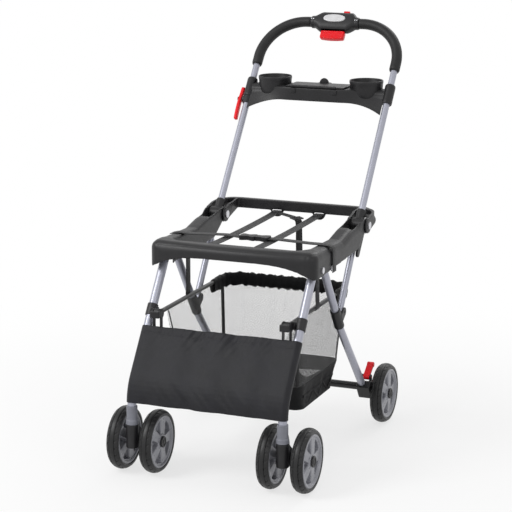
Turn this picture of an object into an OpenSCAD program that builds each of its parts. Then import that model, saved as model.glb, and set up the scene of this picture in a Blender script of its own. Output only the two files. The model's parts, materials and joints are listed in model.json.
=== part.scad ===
// Car seat stroller frame: a folding carrier for an infant seat, on six small wheels
// Millimetres, +Z up, the front faces -Y, the origin is on the floor under the middle
// Places are written from the front axles, and place() moves them to the origin

/* [Wheels] */
// outer diameter of every tyre
wheel_d = 152; // [140:1:164]
// width of a tyre
tyre_w = 30; // [24:1:32]
// outer diameter of a rim
rim_d = 126; // [112:1:130]
// distance between the middles of the two rear wheels
track = 458; // [450:1:480]
// distance from the front axles to the rear axles
wheelbase = 570; // [550:1:590]
// distance between the twin wheels of a caster
twin_gap = 83.5; // [80:0.5:92]
// distance of a caster stem ahead of its axle
trail = 46; // [40:1:50]
// diameter of an axle
axle_d = 8; // [6:0.5:9]

/* [Tubes] */
// distance between the middles of the left and right tubes
frame_w = 378; // [370:1:386]
// diameter of the front legs
front_tube_d = 21; // [18:0.5:22]
// diameter of the rear legs
rear_tube_d = 19; // [16:0.5:20]
// diameter of the handle tube
handle_tube_d = 17; // [15:0.5:18]
// diameter of the struts
strut_d = 16; // [13:0.5:16]
// wall of every tube
tube_wall = 1.5; // [1:0.1:2]

/* [Pivots] */
// distance of the front leg pivots behind the front axles
front_pivot_y = 149; // [145:1:153]
// height of the front leg pivots
front_pivot_z = 489; // [485:1:493]
// distance of the rear leg pivots behind the front axles
rear_pivot_y = 212; // [208:1:216]
// height of the rear leg pivots
rear_pivot_z = 481; // [478:1:486]
// distance of the handle hinges behind the front axles
hinge_y = 467; // [460:1:474]
// height of the handle hinges
hinge_z = 533; // [529:1:537]
// slope of the front legs
front_lean = 55; // [53:0.5:57]
// distance of the strut pivots down the rear legs
strut_at = 182; // [172:1:190]
// length of the handle's lever below its hinge
lever = 78; // [72:1:82]

/* [Handle] */
// slope of the handle
handle_deg = 52.5; // [50:0.5:55]
// distance from the hinges to the middle of the bow
bow_s = 575; // [540:1:610]
// bend radius of the bow
bow_r = 112; // [95:1:118]
// diameter of the foam grips
grip_d = 27; // [23:0.5:30]
// distance from the hinges to the tray along the handle
tray_s = 385; // [375:1:395]
// outer diameter of a cup holder
cup_d = 86; // [80:1:88]

/* [Basket] */
// height of the basket bar
bar_z = 375; // [365:1:385]
// distance of the basket bar's rear behind the front axles
bar_back = 476; // [455:1:490]
// diameter of the basket bar
bar_d = 11; // [9:0.5:12]
// height of the basket floor
floor_z = 133; // [120:1:150]

/* [Hidden] */
$fn = 48;
fine_fn = 96;
wide = 400;
wheel_r = wheel_d / 2;
lane = frame_w / 2;
side_gap = 1;
run_gap = 0.05;
seat_gap = 0.5;

// wheels and casters
hub_half = tyre_w / 2 + 0.5;
hub_d = 30;
crown_r = 22;
groove_w = 2;
rim_t = 7;
rim_in = rim_d / 2 - rim_t;
web_t = 6;
spoke_w = 22;
spoke_t = 18;
spokes = 5;
stem_d = 10;
fork_d = 30;
fork_w = 26;
cap_d = 27;
cap_t = 3;
axle_half = twin_gap / 2 + hub_half + seat_gap;
rear_cap_x = track / 2 + hub_half + seat_gap;

// half of a rim's section, from the bore out, as radius and distance from the wheel's middle
rim_half = [
  [axle_d / 2 + run_gap, hub_half], [hub_d / 2, hub_half], [hub_d / 2, spoke_t / 2], [rim_in, spoke_t / 2],
  [rim_in, tyre_w / 2 - 2], [rim_d / 2, tyre_w / 2 - 2]
];
spoke_deg = 360 / spokes;
pocket_r = rim_in - 1;
pocket_deg = spoke_deg / 2 - asin(spoke_w / 2 / pocket_r);

// seat ring and rear bar
pin_d = 8;
pin_head_d = 15;
hinge_pin_d = 10;
hinge_head_d = 19;
head_t = 3;
ring_t = 3;
ring_in = lane - 20;
ring_out = lane + 22;
ring_top = hinge_z - 3;
front_y = front_pivot_y - 62;
front_depth = 45;
front_end = front_y + front_depth + 15;
crown_end = front_end + 25;
corner_r = 25;
inner_r = 30;
crown_z = ring_top + 6;
bow_arc = 1450;
skirt_z = front_pivot_z - 19;
skirt_rise = 28;
skirt_half = 174;
skirt_r = 48;
arch_rise = 33;
arch_half = 196;
arch_r = 40;
arch_depth = 30;
knuckle_r = 21;
ear_r = 20;
roof_end = hinge_y - 92;
ear_t = 5.6;
bar_y1 = hinge_y + 75;
bar_y2 = bar_y1 + 16;
bar_z1 = hinge_z + 6;
bar_z2 = bar_z1 + 22;
lobe_x = 57;
lobe_r = 17;
lobe_t = 8;
lobe_z = bar_z1 - 3;
bar_corner_r = 45;
slot_w = 28;
slot_h = 5;

// straps and buckle
strap_w = 25;
strap_t = 1.6;
strap_y1 = front_y + front_depth;
strap_y2 = bar_y1;
strap_z1 = ring_top + 3;
strap_z2 = lobe_z - 1.5;
buckle_y = front_pivot_y + 73;
buckle_z = hinge_z + 4;
buckle_w = 30;
buckle_t = 11;
buckle_joint = 6;
waist_half = 56;
adjuster = [22, hinge_y + 18];
loose_w = 20;
adjuster_w = 32;
adjuster_l = 24;
adjuster_t = 2.5;
tail_l = 85;
loose_from = [strap_w / 2 - lobe_x, bar_y1 - 10];
loose_l = norm(adjuster - loose_from);

// handle, console and tray
grip_s = bow_s - bow_r - 14;
tube_s = 18;
socket_d = handle_tube_d + 6;
console_w = 108;
console_h = 56;
console_t = 34;
console_r = 18;
collar_d = 32;
collar_x = lane - bow_r - 11;
screw_d = 5;
screw_l = 6;
screws = [[-45, -12], [45, -12], [-45, 14], [45, 14]];
badge_w = 60;
badge_h = 22;
badge_t = 2.5;
trigger_w = 64;
trigger_t = 20;
trigger_s = bow_s - 53;
trigger_h = 26;
trigger_arc = 100;
trigger_travel = 10;
trigger_gap = 0.4;
trigger_room = [trigger_w + 2 * trigger_gap, trigger_h + trigger_travel + 0.6, trigger_t + 2 * trigger_gap];
slider_x = 18;
slider_w = 16;
slider_t = 12;
slider_h = 9;
slider_travel = 6;
slider_gap = 0.4;
plunger_l = 100;
knuckle_d = 34;
knuckle_gap = 0.7;
lever_w = 18;
lever_t = 6;
clamp_half = 36;
latch_s = tray_s - clamp_half - 16;
latch_x = lane + 14.5;
latch_t = 10;
latch_w = 18;
latch_l = 62;
latch_up = 36;
latch_up_w = 12;
latch_pin_d = 6;
bin_x = 84;
bin_l = 86;
bin_h = 28;
cup_x = 125;
cup_h = 48;
apron_x = lane - 14;
apron_t = 4;
apron_h = 49;
apron_rise = 21;
apron_r = (pow(apron_x - 20, 2) + pow(apron_rise, 2)) / (2 * apron_rise);
wall = 3;
lid_t = 4;
lid_w = 156;
lid_pin_d = 3;
lug_x = 62;
tab_r = 20;

// front legs
leg_end_z = wheel_r + 51;
leg_end_h = 45;
leg_end_wall = 2.5;
leg_bend_r = 110;
tube_stop_z = wheel_r + 74;
crossbar_d = 12;
crossbar_z = bar_z - 58;
crossbar_y = front_pivot_y - (front_pivot_z - crossbar_z) / tan(front_lean);
panel_z1 = wheel_r + 106;
panel_z2 = bar_z - 32;
panel_t = 2.5;
panel_dip = 3;
panel_folds = 4;
panel_steps = 24;
bar_x = lane - 26;
boss_d = 22;
boss_half = 6.5;
prong_x = boss_half + seat_gap;
prong_t = 4.5;
fork_pin_d = 6;

// rear legs and struts
rear_bow = 16;
bracket_x1 = lane - 12;
bracket_x2 = track / 2 - hub_half - side_gap;
rear_bar_d = 19;
pedal_pin_d = 6;
pedal_w = 17;
pedal_lug_t = 4;
pedal_deg = 37;
strut_pin_d = 7;
strut_ear_t = 5;
clamp_wall = 3;

// basket
band_z = floor_z + 67;
band_front = 70;
band_rear = 52;
floor_front = 102;
floor_rear = 78;
mesh_t = 2.5;
bar_bend_r = 45;
loop_d = bar_d + 5;
loop_l = 26;
hem_d = 2 * bar_d;
hem_half = bar_x - 48;
hang_y = rear_pivot_y + 22;
cloth_gap = 0.6;

// places in Y and Z
front_pivot = [front_pivot_y, front_pivot_z];
rear_pivot = [rear_pivot_y, rear_pivot_z];
hinge = [hinge_y, hinge_z];
handle_dir = [cos(handle_deg), sin(handle_deg)];
front_dir = [-cos(front_lean), -sin(front_lean)];
front_corner = [-trail, front_pivot_z - (front_pivot_y + trail) * tan(front_lean)];
front_path = [front_pivot - 14 * front_dir, front_corner, [-trail, tube_stop_z]];
panel_top = front_pivot + (front_pivot_z - panel_z2) / sin(front_lean) * front_dir;
panel_path = [panel_top, front_corner, [-trail, panel_z1]];
rear_axle = [wheelbase, wheel_r];
rear_end = rear_axle + [-47, 22];
rear_line = rear_end - rear_pivot;
rear_bend = rear_pivot + 0.446 * rear_line - rear_bow * left_of(unit(rear_line));
rear_dir = unit(rear_bend - rear_pivot);
rear_path = [rear_pivot - 12 * rear_dir, rear_bend, rear_end];
rear_cross = rear_end + [18, -3];
strut_off = rear_tube_d / 2 + strut_d / 2 + 4.4;
strut_pivot = rear_pivot + strut_at * rear_dir + strut_off * left_of(rear_dir);
lever_end = hinge - lever * handle_dir;
strut_dir = unit(lever_end - strut_pivot);
tray = hinge + tray_s * handle_dir;
cup_y = tray.x + 3;
cup_z = tray.y + 21 - cup_h;
lid_hinge = [tray.x - 50, tray.y + 3.5];
bar_pivot = [front_pivot_y - (front_pivot_z - bar_z) / tan(front_lean) - 22, bar_z];
pedal_pivot = rear_axle + [-38, 48];
rear_top = hinge_y + (bow_s + console_h / 2) * handle_dir.x + console_t / 2 * handle_dir.y;
mid_y = (rear_top - wheel_r) / 2;
basket_y1 = bar_pivot.x + 23;

// paths in plan
handle_path = [[lane, tube_s], [lane, bow_s], [-lane, bow_s], [-lane, tube_s]];
bar_path = [[bar_x, bar_pivot.x], [bar_x, bar_back], [-bar_x, bar_back], [-bar_x, bar_pivot.x]];

c_black = [0.11, 0.11, 0.12];
c_silver = [0.72, 0.71, 0.76];
c_steel = [0.6, 0.6, 0.62];
c_grey = [0.42, 0.42, 0.46];
c_red = [0.85, 0.09, 0.13];
c_foam = [0.08, 0.08, 0.08];
c_tyre = [0.05, 0.05, 0.05];
c_rim = [0.68, 0.68, 0.72];
c_mesh = [0.62, 0.62, 0.64];
c_cloth = [0.06, 0.06, 0.07];
c_pearl = [0.88, 0.88, 0.88];

// Helpers

function unit(v) = v / norm(v);
function left_of(v) = [-v.y, v.x];
function turned(v, a) = [v.x * cos(a) - v.y * sin(a), v.x * sin(a) + v.y * cos(a)];
function turn(u, v) = atan2(u.x * v.y - u.y * v.x, u.x * v.x + u.y * v.y);
function angle_of(v) = atan2(v.y, v.x);
function backwards(list) = [for (k = [len(list) - 1 : -1 : 0]) list[k]];
function bend_at(pts, i) = turn(pts[i] - pts[i - 1], pts[i + 1] - pts[i]);
function inset(pts, i, r) =
  i == 0 || i == len(pts) - 1 ? 0 : r * tan(abs(bend_at(pts, i)) / 2);

module place() translate([0, -mid_y, 0]) children();
module sides() {
  children();
  mirror([1, 0, 0]) children();
}
module side(s) mirror([s < 0 ? 1 : 0, 0, 0]) children();
// a drawing in Y and Z, raised along X
module yz(x) translate([x, 0, 0]) rotate([90, 0, 90]) children();
module slab(x1, x2) yz(x1) linear_extrude(x2 - x1) children();
module rod_x(x1, x2, p, d) yz(x1) translate(p) cylinder(d = d, h = x2 - x1);
module bore_x(p, d) rod_x(-wide, wide, p, d);
// the handle's own frame: X across, Y up the handle, Z to its front
module at_hinge() translate([0, hinge_y, hinge_z]) rotate([handle_deg, 0, 0]) children();
module on_handle() place() at_hinge() children();
module up_handle(x, s) translate([x, s, 0]) rotate([-90, 0, 0]) children();
module at_wheel(x, y) place() translate([x, y, wheel_r]) rotate([0, 90, 0]) children();

module straights(pts, r, past) {
  for (i = [0 : len(pts) - 2]) {
    u = unit(pts[i + 1] - pts[i]);
    p = pts[i] + (i == 0 ? -past : inset(pts, i, r)) * u;
    q = pts[i + 1] - (i == len(pts) - 2 ? -past : inset(pts, i + 1, r)) * u;
    translate(p) rotate(angle_of(u)) rotate([0, 90, 0]) linear_extrude(norm(q - p)) children();
  }
}
module bends(pts, r) {
  for (i = [1 : len(pts) - 2]) {
    u = unit(pts[i] - pts[i - 1]);
    a = bend_at(pts, i);
    s = sign(a);
    from = -s * left_of(u);
    c = pts[i] - inset(pts, i, r) * u - r * from;
    start = angle_of(from) + min(a, 0);
    translate(c) rotate(start) rotate_extrude(angle = abs(a)) translate([r, 0]) children();
  }
}
// a round bar along points, bent at each corner
module bar(pts, r, d, past = 0) {
  straights(pts, r, past) circle(d = d);
  bends(pts, r) circle(d = d);
}
module pipe(pts, r, d) difference() {
  bar(pts, r, d);
  bar(pts, r, d - 2 * tube_wall, 1);
}
// places and directions along a path with slanting bends, for a swept skin
function bend_steps(pts, i, r) =
  let (u = unit(pts[i] - pts[i - 1]), a = bend_at(pts, i), n = max(2, ceil(abs(a) / 6)))
  let (to = sign(a) * left_of(u), c = pts[i] - inset(pts, i, r) * u + r * to)
  [for (k = [0 : n]) let (w = a * k / n) [c - r * turned(to, w), turned(u, w)]];
function path_steps(pts, r) = let (n = len(pts) - 1) concat(
  [[pts[0], unit(pts[1] - pts[0])]],
  [for (i = [1 : n - 1]) each bend_steps(pts, i, r)],
  [[pts[n], unit(pts[n] - pts[n - 1])]]
);
function skin_points(steps, outline) = [
  for (s = steps, p = outline) let (q = s[0] + p.x * left_of(s[1])) [q.x, q.y, p.y]
];
function skin_faces(n, m) = [
  for (i = [0 : n - 2], j = [0 : m - 1]) let (a = i * m + j, b = i * m + (j + 1) % m)
    each [[b, a, a + m], [b, a + m, b + m]]
];
function tube_outline(d) = [for (k = [0 : 23]) d / 2 * [cos(k * 15), sin(k * 15)]];
// a solid swept along a path, with its two ends closed by the given faces of the outline
module swept(pts, r, outline, ends) {
  steps = path_steps(pts, r);
  n = len(steps);
  m = len(outline);
  last = [for (f = ends) [for (k = backwards(f)) k + (n - 1) * m]];
  polyhedron(skin_points(steps, outline), concat(skin_faces(n, m), ends, last), convexity = 6);
}
module swept_bar(pts, r, d) swept(pts, r, tube_outline(d), [[for (k = [0 : 23]) k]]);
function longer(pts, by) = let (n = len(pts) - 1) [
  for (i = [0 : n]) pts[i]
    - (i == 0 ? by * unit(pts[1] - pts[0]) : [0, 0])
    + (i == n ? by * unit(pts[n] - pts[n - 1]) : [0, 0])
];
module swept_pipe(pts, r, d) difference() {
  swept_bar(pts, r, d);
  swept_bar(longer(pts, 1), r, d - 2 * tube_wall);
}
module round_rect(w, h, r) {
  square([w - 2 * r, h], center = true);
  square([w, h - 2 * r], center = true);
  for (x = [-1, 1], y = [-1, 1]) translate([x * (w / 2 - r), y * (h / 2 - r)]) circle(r);
}
module front_legs_solid() sides() yz(lane) swept_bar(front_path, leg_bend_r, front_tube_d);
module rear_leg_solid() yz(lane) swept_bar(rear_path, leg_bend_r, rear_tube_d);

// Seat frame

module ring_plan(in) difference() {
  union() {
    translate([0, front_y + 13 + in + 300]) round_rect(2 * (ring_out - in), 600, corner_r - in);
    intersection() {
      translate([0, front_y + bow_arc + in]) circle(bow_arc, $fn = fine_fn);
      translate([0, front_y + 40]) square([2 * (ring_out - corner_r), 80], center = true);
    }
  }
  translate([0, front_y + front_depth - in + 300]) round_rect(2 * (ring_in + in), 600, inner_r);
}
function arm_top(y) = ring_top + 3 * (front_pivot_y + 150 - y) / (front_pivot_y + 150 - crown_end);
module ring_side() {
  knuckle = [for (k = [0 : 16]) hinge + knuckle_r * [cos(115 - k * 15), sin(115 - k * 15)]];
  polygon(concat([
    [front_y - 20, skirt_z], [front_y - 20, crown_z], [front_end, crown_z],
    [crown_end, ring_top + 3], [front_pivot_y + 150, ring_top], [hinge_y - 110, ring_top + 12],
    [hinge_y - 30, hinge_z + 18]
  ], knuckle, [[hinge_y - 64, hinge_z - 48]]));
}
module ring_cavity() intersection() {
  translate([0, 0, skirt_z - 30]) linear_extrude(220) ring_plan(ring_t);
  slab(-ring_out, ring_out) translate([0, -ring_t]) {
    ring_side();
    translate([front_y - 20, skirt_z - 40]) square([hinge_y - front_y, 75]);
  }
}
module seat_ring() color(c_black) place() difference() {
  intersection() {
    translate([0, 0, skirt_z - 20]) linear_extrude(200) ring_plan(0);
    slab(-ring_out - 1, ring_out + 1) ring_side();
  }
  ring_cavity();
  translate([0, front_end, skirt_z + skirt_rise - 100]) rotate([90, 0, 0])
    linear_extrude(front_end - front_y + 30) round_rect(2 * skirt_half, 200, skirt_r);
  translate([0, front_y + arch_depth, skirt_z + arch_rise - 100]) rotate([90, 0, 0])
    linear_extrude(arch_depth + 30) round_rect(2 * arch_half, 200, arch_r);
  sides() translate([ring_in + ring_t, roof_end, skirt_z]) cube([ring_out - ring_in - 2 * ring_t, 200, 200]);
  bore_x(front_pivot, pin_d);
  bore_x(rear_pivot, pin_d);
  bore_x(hinge, hinge_pin_d);
  sides() rod_x(ring_in - 2 * head_t, ring_in, front_pivot, pin_head_d + seat_gap);
}

module ear() {
  translate(hinge) circle(ear_r);
  polygon([
    [hinge_y - 6.6, hinge_z - 18.8], [bar_y2, bar_z1], [bar_y2, bar_z2],
    [hinge_y + 22, hinge_z + 41], [hinge_y - 13.3, hinge_z + 14.8]
  ]);
}
// the bar and its ears in plan: two plates on each side of each arm and a rounded bar behind them
module bar_plan() {
  half = ring_out + ear_t;
  difference() {
    translate([0, bar_y2 - 150]) round_rect(2 * half, 300, bar_corner_r);
    translate([0, bar_y1 - 150]) round_rect(2 * ring_out, 300, bar_corner_r - ear_t);
  }
  sides() translate([ring_in - ear_t, hinge_y - 40]) square([ear_t, bar_y1 + 5 - hinge_y + 40]);
}
module rear_bar() color(c_black) place() difference() {
  union() {
    intersection() {
      translate([0, 0, hinge_z - 60]) linear_extrude(200) bar_plan();
      slab(-wide, wide) ear();
    }
    sides() translate([lobe_x, bar_y1 + lobe_t, lobe_z]) rotate([90, 0, 0]) cylinder(r = lobe_r, h = lobe_t);
  }
  sides() translate([lobe_x - slot_w / 2, bar_y1 - 1, lobe_z - slot_h / 2 - 1]) cube([slot_w, 20, slot_h]);
  bore_x(hinge, hinge_pin_d);
}

module headed_pin(x1, x2, p, d, head) {
  rod_x(x1 - head_t, x2 + head_t, p, d);
  rod_x(x1 - head_t, x1, p, head);
  rod_x(x2, x2 + head_t, p, head);
}
module hinge_pins() color(c_steel) place() sides()
  headed_pin(ring_in - ear_t, ring_out + ear_t, hinge, hinge_pin_d, hinge_head_d);
module leg_pins() color(c_steel) place() sides() {
  headed_pin(ring_in, ring_out, front_pivot, pin_d, pin_head_d);
  headed_pin(ring_in, ring_out, rear_pivot, pin_d, pin_head_d);
}

// height of the two long straps at a distance behind the front axles
function strap_z(y) = strap_z1 + (strap_z2 - strap_z1) * (y - strap_y1) / (strap_y2 - strap_y1);
module long_strap() slab(lobe_x - strap_w / 2, lobe_x + strap_w / 2) polygon([
  [strap_y1, strap_z1 - 6], [strap_y1 + strap_t, strap_z1 - 6],
  [strap_y1 + strap_t, strap_z(strap_y1 + strap_t)],
  [strap_y2, strap_z2], [strap_y2, strap_z2 + strap_t], [strap_y1, strap_z1 + strap_t]
]);
module waist_half_strap() {
  arm_z = arm_top(buckle_y - strap_w / 2);
  tongue_z = buckle_z + (buckle_t - strap_t) / 2;
  line = [[waist_half, tongue_z], [ring_in + 2, arm_z], [ring_in + 14, arm_z]];
  translate([0, buckle_y + strap_w / 2, 0]) rotate([90, 0, 0]) linear_extrude(strap_w)
    polygon(concat(line, [for (p = backwards(line)) p + [0, strap_t]]));
}
// a loose strap from the left lobe's strap to the adjuster, drawn along its own length
module at_loose() translate([loose_from.x, loose_from.y, strap_z(bar_y1)])
  rotate(angle_of(adjuster - loose_from)) children();
module harness_straps() color(c_cloth) place() {
  sides() long_strap();
  sides() waist_half_strap();
  at_loose() translate([-4, -loose_w / 2, 0]) cube([loose_l + 4, loose_w, strap_t]);
}
// a slide round the loose strap's end, with the strap's tail hanging from it
module strap_adjuster() color(c_black) place() at_loose() translate([loose_l, 0, 0]) {
  difference() {
    translate([-adjuster_l / 2, -adjuster_w / 2, -adjuster_t])
      cube([adjuster_l, adjuster_w, strap_t + 2 * adjuster_t]);
    translate([-adjuster_l, -loose_w / 2, 0]) cube([adjuster_l, loose_w, strap_t]);
  }
  translate([adjuster_l / 2 - 4, -loose_w / 2, -tail_l]) cube([strap_t, loose_w, tail_l - 1]);
}
module buckle_half(x1, x2) translate([(x1 + x2) / 2, buckle_y, buckle_z]) linear_extrude(buckle_t)
  round_rect(x2 - x1, buckle_w, 6);
module buckle_socket() color(c_black) place() buckle_half(-waist_half, buckle_joint);
module buckle_tongue() color(c_black) place() buckle_half(buckle_joint, waist_half);

// Handle

module handle_tube() color(c_silver) on_handle() pipe(handle_path, bow_r, handle_tube_d);
module grip(s) color(c_foam) on_handle() side(s) difference() {
  bar([[lane, grip_s], [lane, bow_s], [collar_x, bow_s]], bow_r, grip_d);
  bar(handle_path, bow_r, handle_tube_d);
}
module console_block() difference() {
  union() {
    translate([0, bow_s, -console_t / 2]) linear_extrude(console_t)
      round_rect(console_w, console_h, console_r);
    translate([-collar_x, bow_s, 0]) rotate([0, 90, 0]) cylinder(d = collar_d, h = 2 * collar_x);
  }
  bar(handle_path, bow_r, handle_tube_d);
  translate([-trigger_room.x / 2, trigger_s, -trigger_room.z / 2]) cube(trigger_room);
  translate([slider_x - 1.5 * slider_gap, bow_s + console_h / 2 - 4, -slider_t / 2 - slider_gap])
    cube([slider_w + slider_travel + 3 * slider_gap, 20, slider_t + 2 * slider_gap]);
}
module front_half() translate([-wide, 0, 0]) cube([2 * wide, 1000, 100]);
module console_front() color(c_black) on_handle() intersection() {
  console_block();
  front_half();
}
module console_screw(p) translate([p.x, bow_s + p.y, -console_t / 2]) cylinder(d = screw_d, h = screw_l);
module console_back() color(c_black) on_handle() difference() {
  console_block();
  front_half();
  for (p = screws) console_screw(p);
}
module console_screws() color(c_steel) on_handle() for (p = screws) console_screw(p);
module badge_plate() color(c_pearl) on_handle() translate([0, bow_s + 4, console_t / 2])
  linear_extrude(badge_t) round_rect(badge_w, badge_h, badge_h / 2 - 0.2);
module release_trigger() color(c_red) on_handle() translate([0, trigger_s, -trigger_t / 2])
  linear_extrude(trigger_t) difference() {
    translate([-trigger_w / 2, 0]) square([trigger_w, trigger_h]);
    translate([0, 4 - trigger_arc]) circle(trigger_arc);
  }
module lock_slider() color(c_red) on_handle()
  translate([slider_x, bow_s + console_h / 2 - 4 + slider_gap, -slider_t / 2])
    cube([slider_w, slider_h, slider_t]);
module lock_plungers() color(c_steel) on_handle() sides() up_handle(lane, tube_s + 1)
  cylinder(d = handle_tube_d - 2 * tube_wall - 2 * run_gap, h = plunger_l);

module hinge_fittings() color(c_black) on_handle() sides() difference() {
  union() {
    translate([ring_in + ring_t + knuckle_gap, 0, 0]) rotate([0, 90, 0])
      cylinder(d = knuckle_d, h = ring_out - ring_in - 2 * ring_t - 2 * knuckle_gap);
    up_handle(lane, 0) cylinder(d = socket_d, h = 40);
    translate([ring_out - ring_t - lever_t - 1.2, 0, 0]) rotate([0, 90, 0]) linear_extrude(lever_t) {
      translate([-lever_w / 2, -lever]) square([lever_w, lever]);
      translate([0, -lever]) circle(d = lever_w);
    }
  }
  up_handle(lane, tube_s) cylinder(d = handle_tube_d, h = 40);
  rotate([0, 90, 0]) cylinder(d = hinge_pin_d + 2 * run_gap, h = wide);
}

module to_left() rotate([0, -90, 0]) children();
module latch_bracket() color(c_black) on_handle() difference() {
  union() {
    up_handle(-lane, latch_s - 13) cylinder(d = socket_d, h = 25);
    translate([-lane, latch_s, 0]) to_left() cylinder(d = 18, h = latch_x - lane - seat_gap);
    translate([-lane, latch_s, 0]) to_left() cylinder(d = latch_pin_d, h = latch_x - lane + latch_t + 2);
    translate([-latch_x - latch_t - seat_gap, latch_s, 0]) to_left() cylinder(d = 2 * latch_pin_d, h = 2);
  }
  up_handle(-lane, latch_s - 20) cylinder(d = handle_tube_d, h = 40);
}
module fold_latch() color(c_red) on_handle() translate([-latch_x, latch_s, 0]) to_left()
  linear_extrude(latch_t) difference() {
    union() {
      circle(11);
      translate([-latch_w / 2, -latch_l]) square([latch_w, latch_l]);
      translate([0, -latch_l]) circle(d = latch_w);
      translate([0, -latch_l - latch_w / 2]) square([latch_w, 14]);
      translate([-latch_up_w / 2, 0]) square([latch_up_w, latch_up]);
      translate([0, latch_up]) circle(d = latch_up_w);
    }
    circle(d = latch_pin_d + 2 * run_gap);
  }

// Tray

module tray_bin() translate([-bin_x, tray.x - 52, tray.y - bin_h - 1]) difference() {
  cube([2 * bin_x, bin_l, bin_h]);
  translate([wall, wall, wall]) cube([2 * (bin_x - wall), bin_l - 2 * wall, 2 * bin_h]);
}
module lid_lug() {
  slab(lug_x, lug_x + 5) {
    translate(lid_hinge) circle(4);
    translate(lid_hinge + [-4, -14]) square([6, 14]);
  }
  rod_x(lug_x - 8, lug_x + 2, lid_hinge, lid_pin_d);
}
module at_cup(z) sides() translate([cup_x, cup_y, z]) children();
// the front wall of the tray from tube to tube, with its lower edge arched
module apron() translate([0, tray.x - 52 + apron_t, tray.y - 1]) rotate([90, 0, 0]) linear_extrude(apron_t)
  difference() {
    translate([-apron_x, -apron_h]) square([2 * apron_x, apron_h]);
    translate([0, apron_rise - apron_h - apron_r]) circle(apron_r, $fn = fine_fn);
  }
module cheek() polygon([
  [-52, -apron_h - 1], [-apron_h / tan(handle_deg), -apron_h - 1], [2, 2], [-52, 2]
]);
module tray_body() color(c_black) place() {
  difference() {
    union() {
      tray_bin();
      apron();
      sides() translate([bin_x - wall, tray.x - 52, tray.y - 20]) cube([lane - bin_x + wall, 66, 22]);
      sides() slab(apron_x - 6, apron_x) translate(tray) cheek();
      at_hinge() sides() up_handle(lane, tray_s - clamp_half)
        cylinder(d = handle_tube_d + 10, h = 2 * clamp_half);
      at_cup(cup_z) cylinder(d = cup_d, h = cup_h);
    }
    at_cup(cup_z + wall) cylinder(d = cup_d - 2 * wall, h = cup_h);
    at_hinge() bar(handle_path, bow_r, handle_tube_d);
  }
  sides() lid_lug();
}
module tray_lid() color(c_black) place() difference() {
  union() {
    rod_x(seat_gap - lug_x, lug_x - seat_gap, lid_hinge, 7);
    translate([seat_gap - lug_x, lid_hinge.x, tray.y - seat_gap]) cube([2 * (lug_x - seat_gap), 40, lid_t]);
    translate([-lid_w / 2, lid_hinge.x + 8, tray.y - seat_gap]) cube([lid_w, 76, lid_t]);
    translate([0, tray.x + 32, tray.y - seat_gap]) cylinder(r = tab_r, h = lid_t);
  }
  bore_x(lid_hinge, lid_pin_d + 2 * run_gap);
  at_cup(0) cylinder(d = cup_d + 1.2, h = 2000);
}

// Front legs

module front_leg(s) color(c_silver) place() side(s) difference() {
  yz(lane) swept_pipe(front_path, leg_bend_r, front_tube_d);
  bore_x(front_pivot, pin_d + 2 * run_gap);
}
module leg_ends() color(c_grey) place() sides() translate([lane, -trail, leg_end_z]) difference() {
  union() {
    cylinder(d = fork_d, h = 11);
    cylinder(d = front_tube_d + 2 * leg_end_wall, h = leg_end_h);
  }
  translate([0, 0, -1]) cylinder(d = stem_d + 2 * run_gap, h = 60);
  translate([0, 0, tube_stop_z - leg_end_z]) cylinder(d = front_tube_d, h = 60);
}
module front_crossbar() color(c_silver) place() difference() {
  rod_x(-lane, lane, [crossbar_y, crossbar_z], crossbar_d);
  front_legs_solid();
}
// the panel is a band round the fronts and outsides of both legs, swept down them, with
// shallow upright folds between the legs
function wrap(r) = [for (k = [0 : 12]) [-r * cos(k * 15), lane + r * sin(k * 15)]];
function fold_depth(x) = panel_dip * (1 - cos(panel_folds * 180 * (1 + x / lane))) / 2;
function panel_line(r) = let (w = wrap(r)) concat(
  [for (p = backwards(w)) [p.x, -p.y]],
  [for (k = [1 : panel_steps - 1]) let (x = lane * (2 * k / panel_steps - 1)) [fold_depth(x) - r, x]],
  w
);
module front_panel() color(c_cloth) place() yz(0) {
  front = panel_line(front_tube_d / 2 + panel_t);
  back = panel_line(front_tube_d / 2);
  m = len(front);
  outline = concat(back, backwards(front));
  swept(panel_path, leg_bend_r, outline, [for (k = [0 : m - 2]) [k, k + 1, 2 * m - 2 - k, 2 * m - 1 - k]]);
}
module fork_prong() {
  translate(bar_pivot) circle(12);
  translate(bar_pivot + [-21, -8]) square([21, 16]);
  translate(bar_pivot + [-6, -42]) square([10, 42]);
}
module bar_forks() color(c_black) place() sides() difference() {
  union() {
    slab(bar_x - prong_x - prong_t, bar_x - prong_x) fork_prong();
    slab(bar_x + prong_x, bar_x + prong_x + prong_t) {
      fork_prong();
      translate(bar_pivot + [0, -9]) square([24, 18]);
    }
    slab(bar_x - prong_x, bar_x + prong_x) translate(bar_pivot + [-21, -8]) square([7, 16]);
    slab(bar_x + prong_x, lane) translate(bar_pivot + [12, -9]) square([12, 18]);
    rod_x(bar_x - prong_x - 2, bar_x + prong_x + 2, bar_pivot, fork_pin_d);
    translate([lane, bar_pivot.x + 22, bar_z]) rotate([front_lean - 90, 0, 0])
      cylinder(d = front_tube_d + 5, h = 30, center = true);
  }
  front_legs_solid();
}

// Casters and wheels

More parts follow.
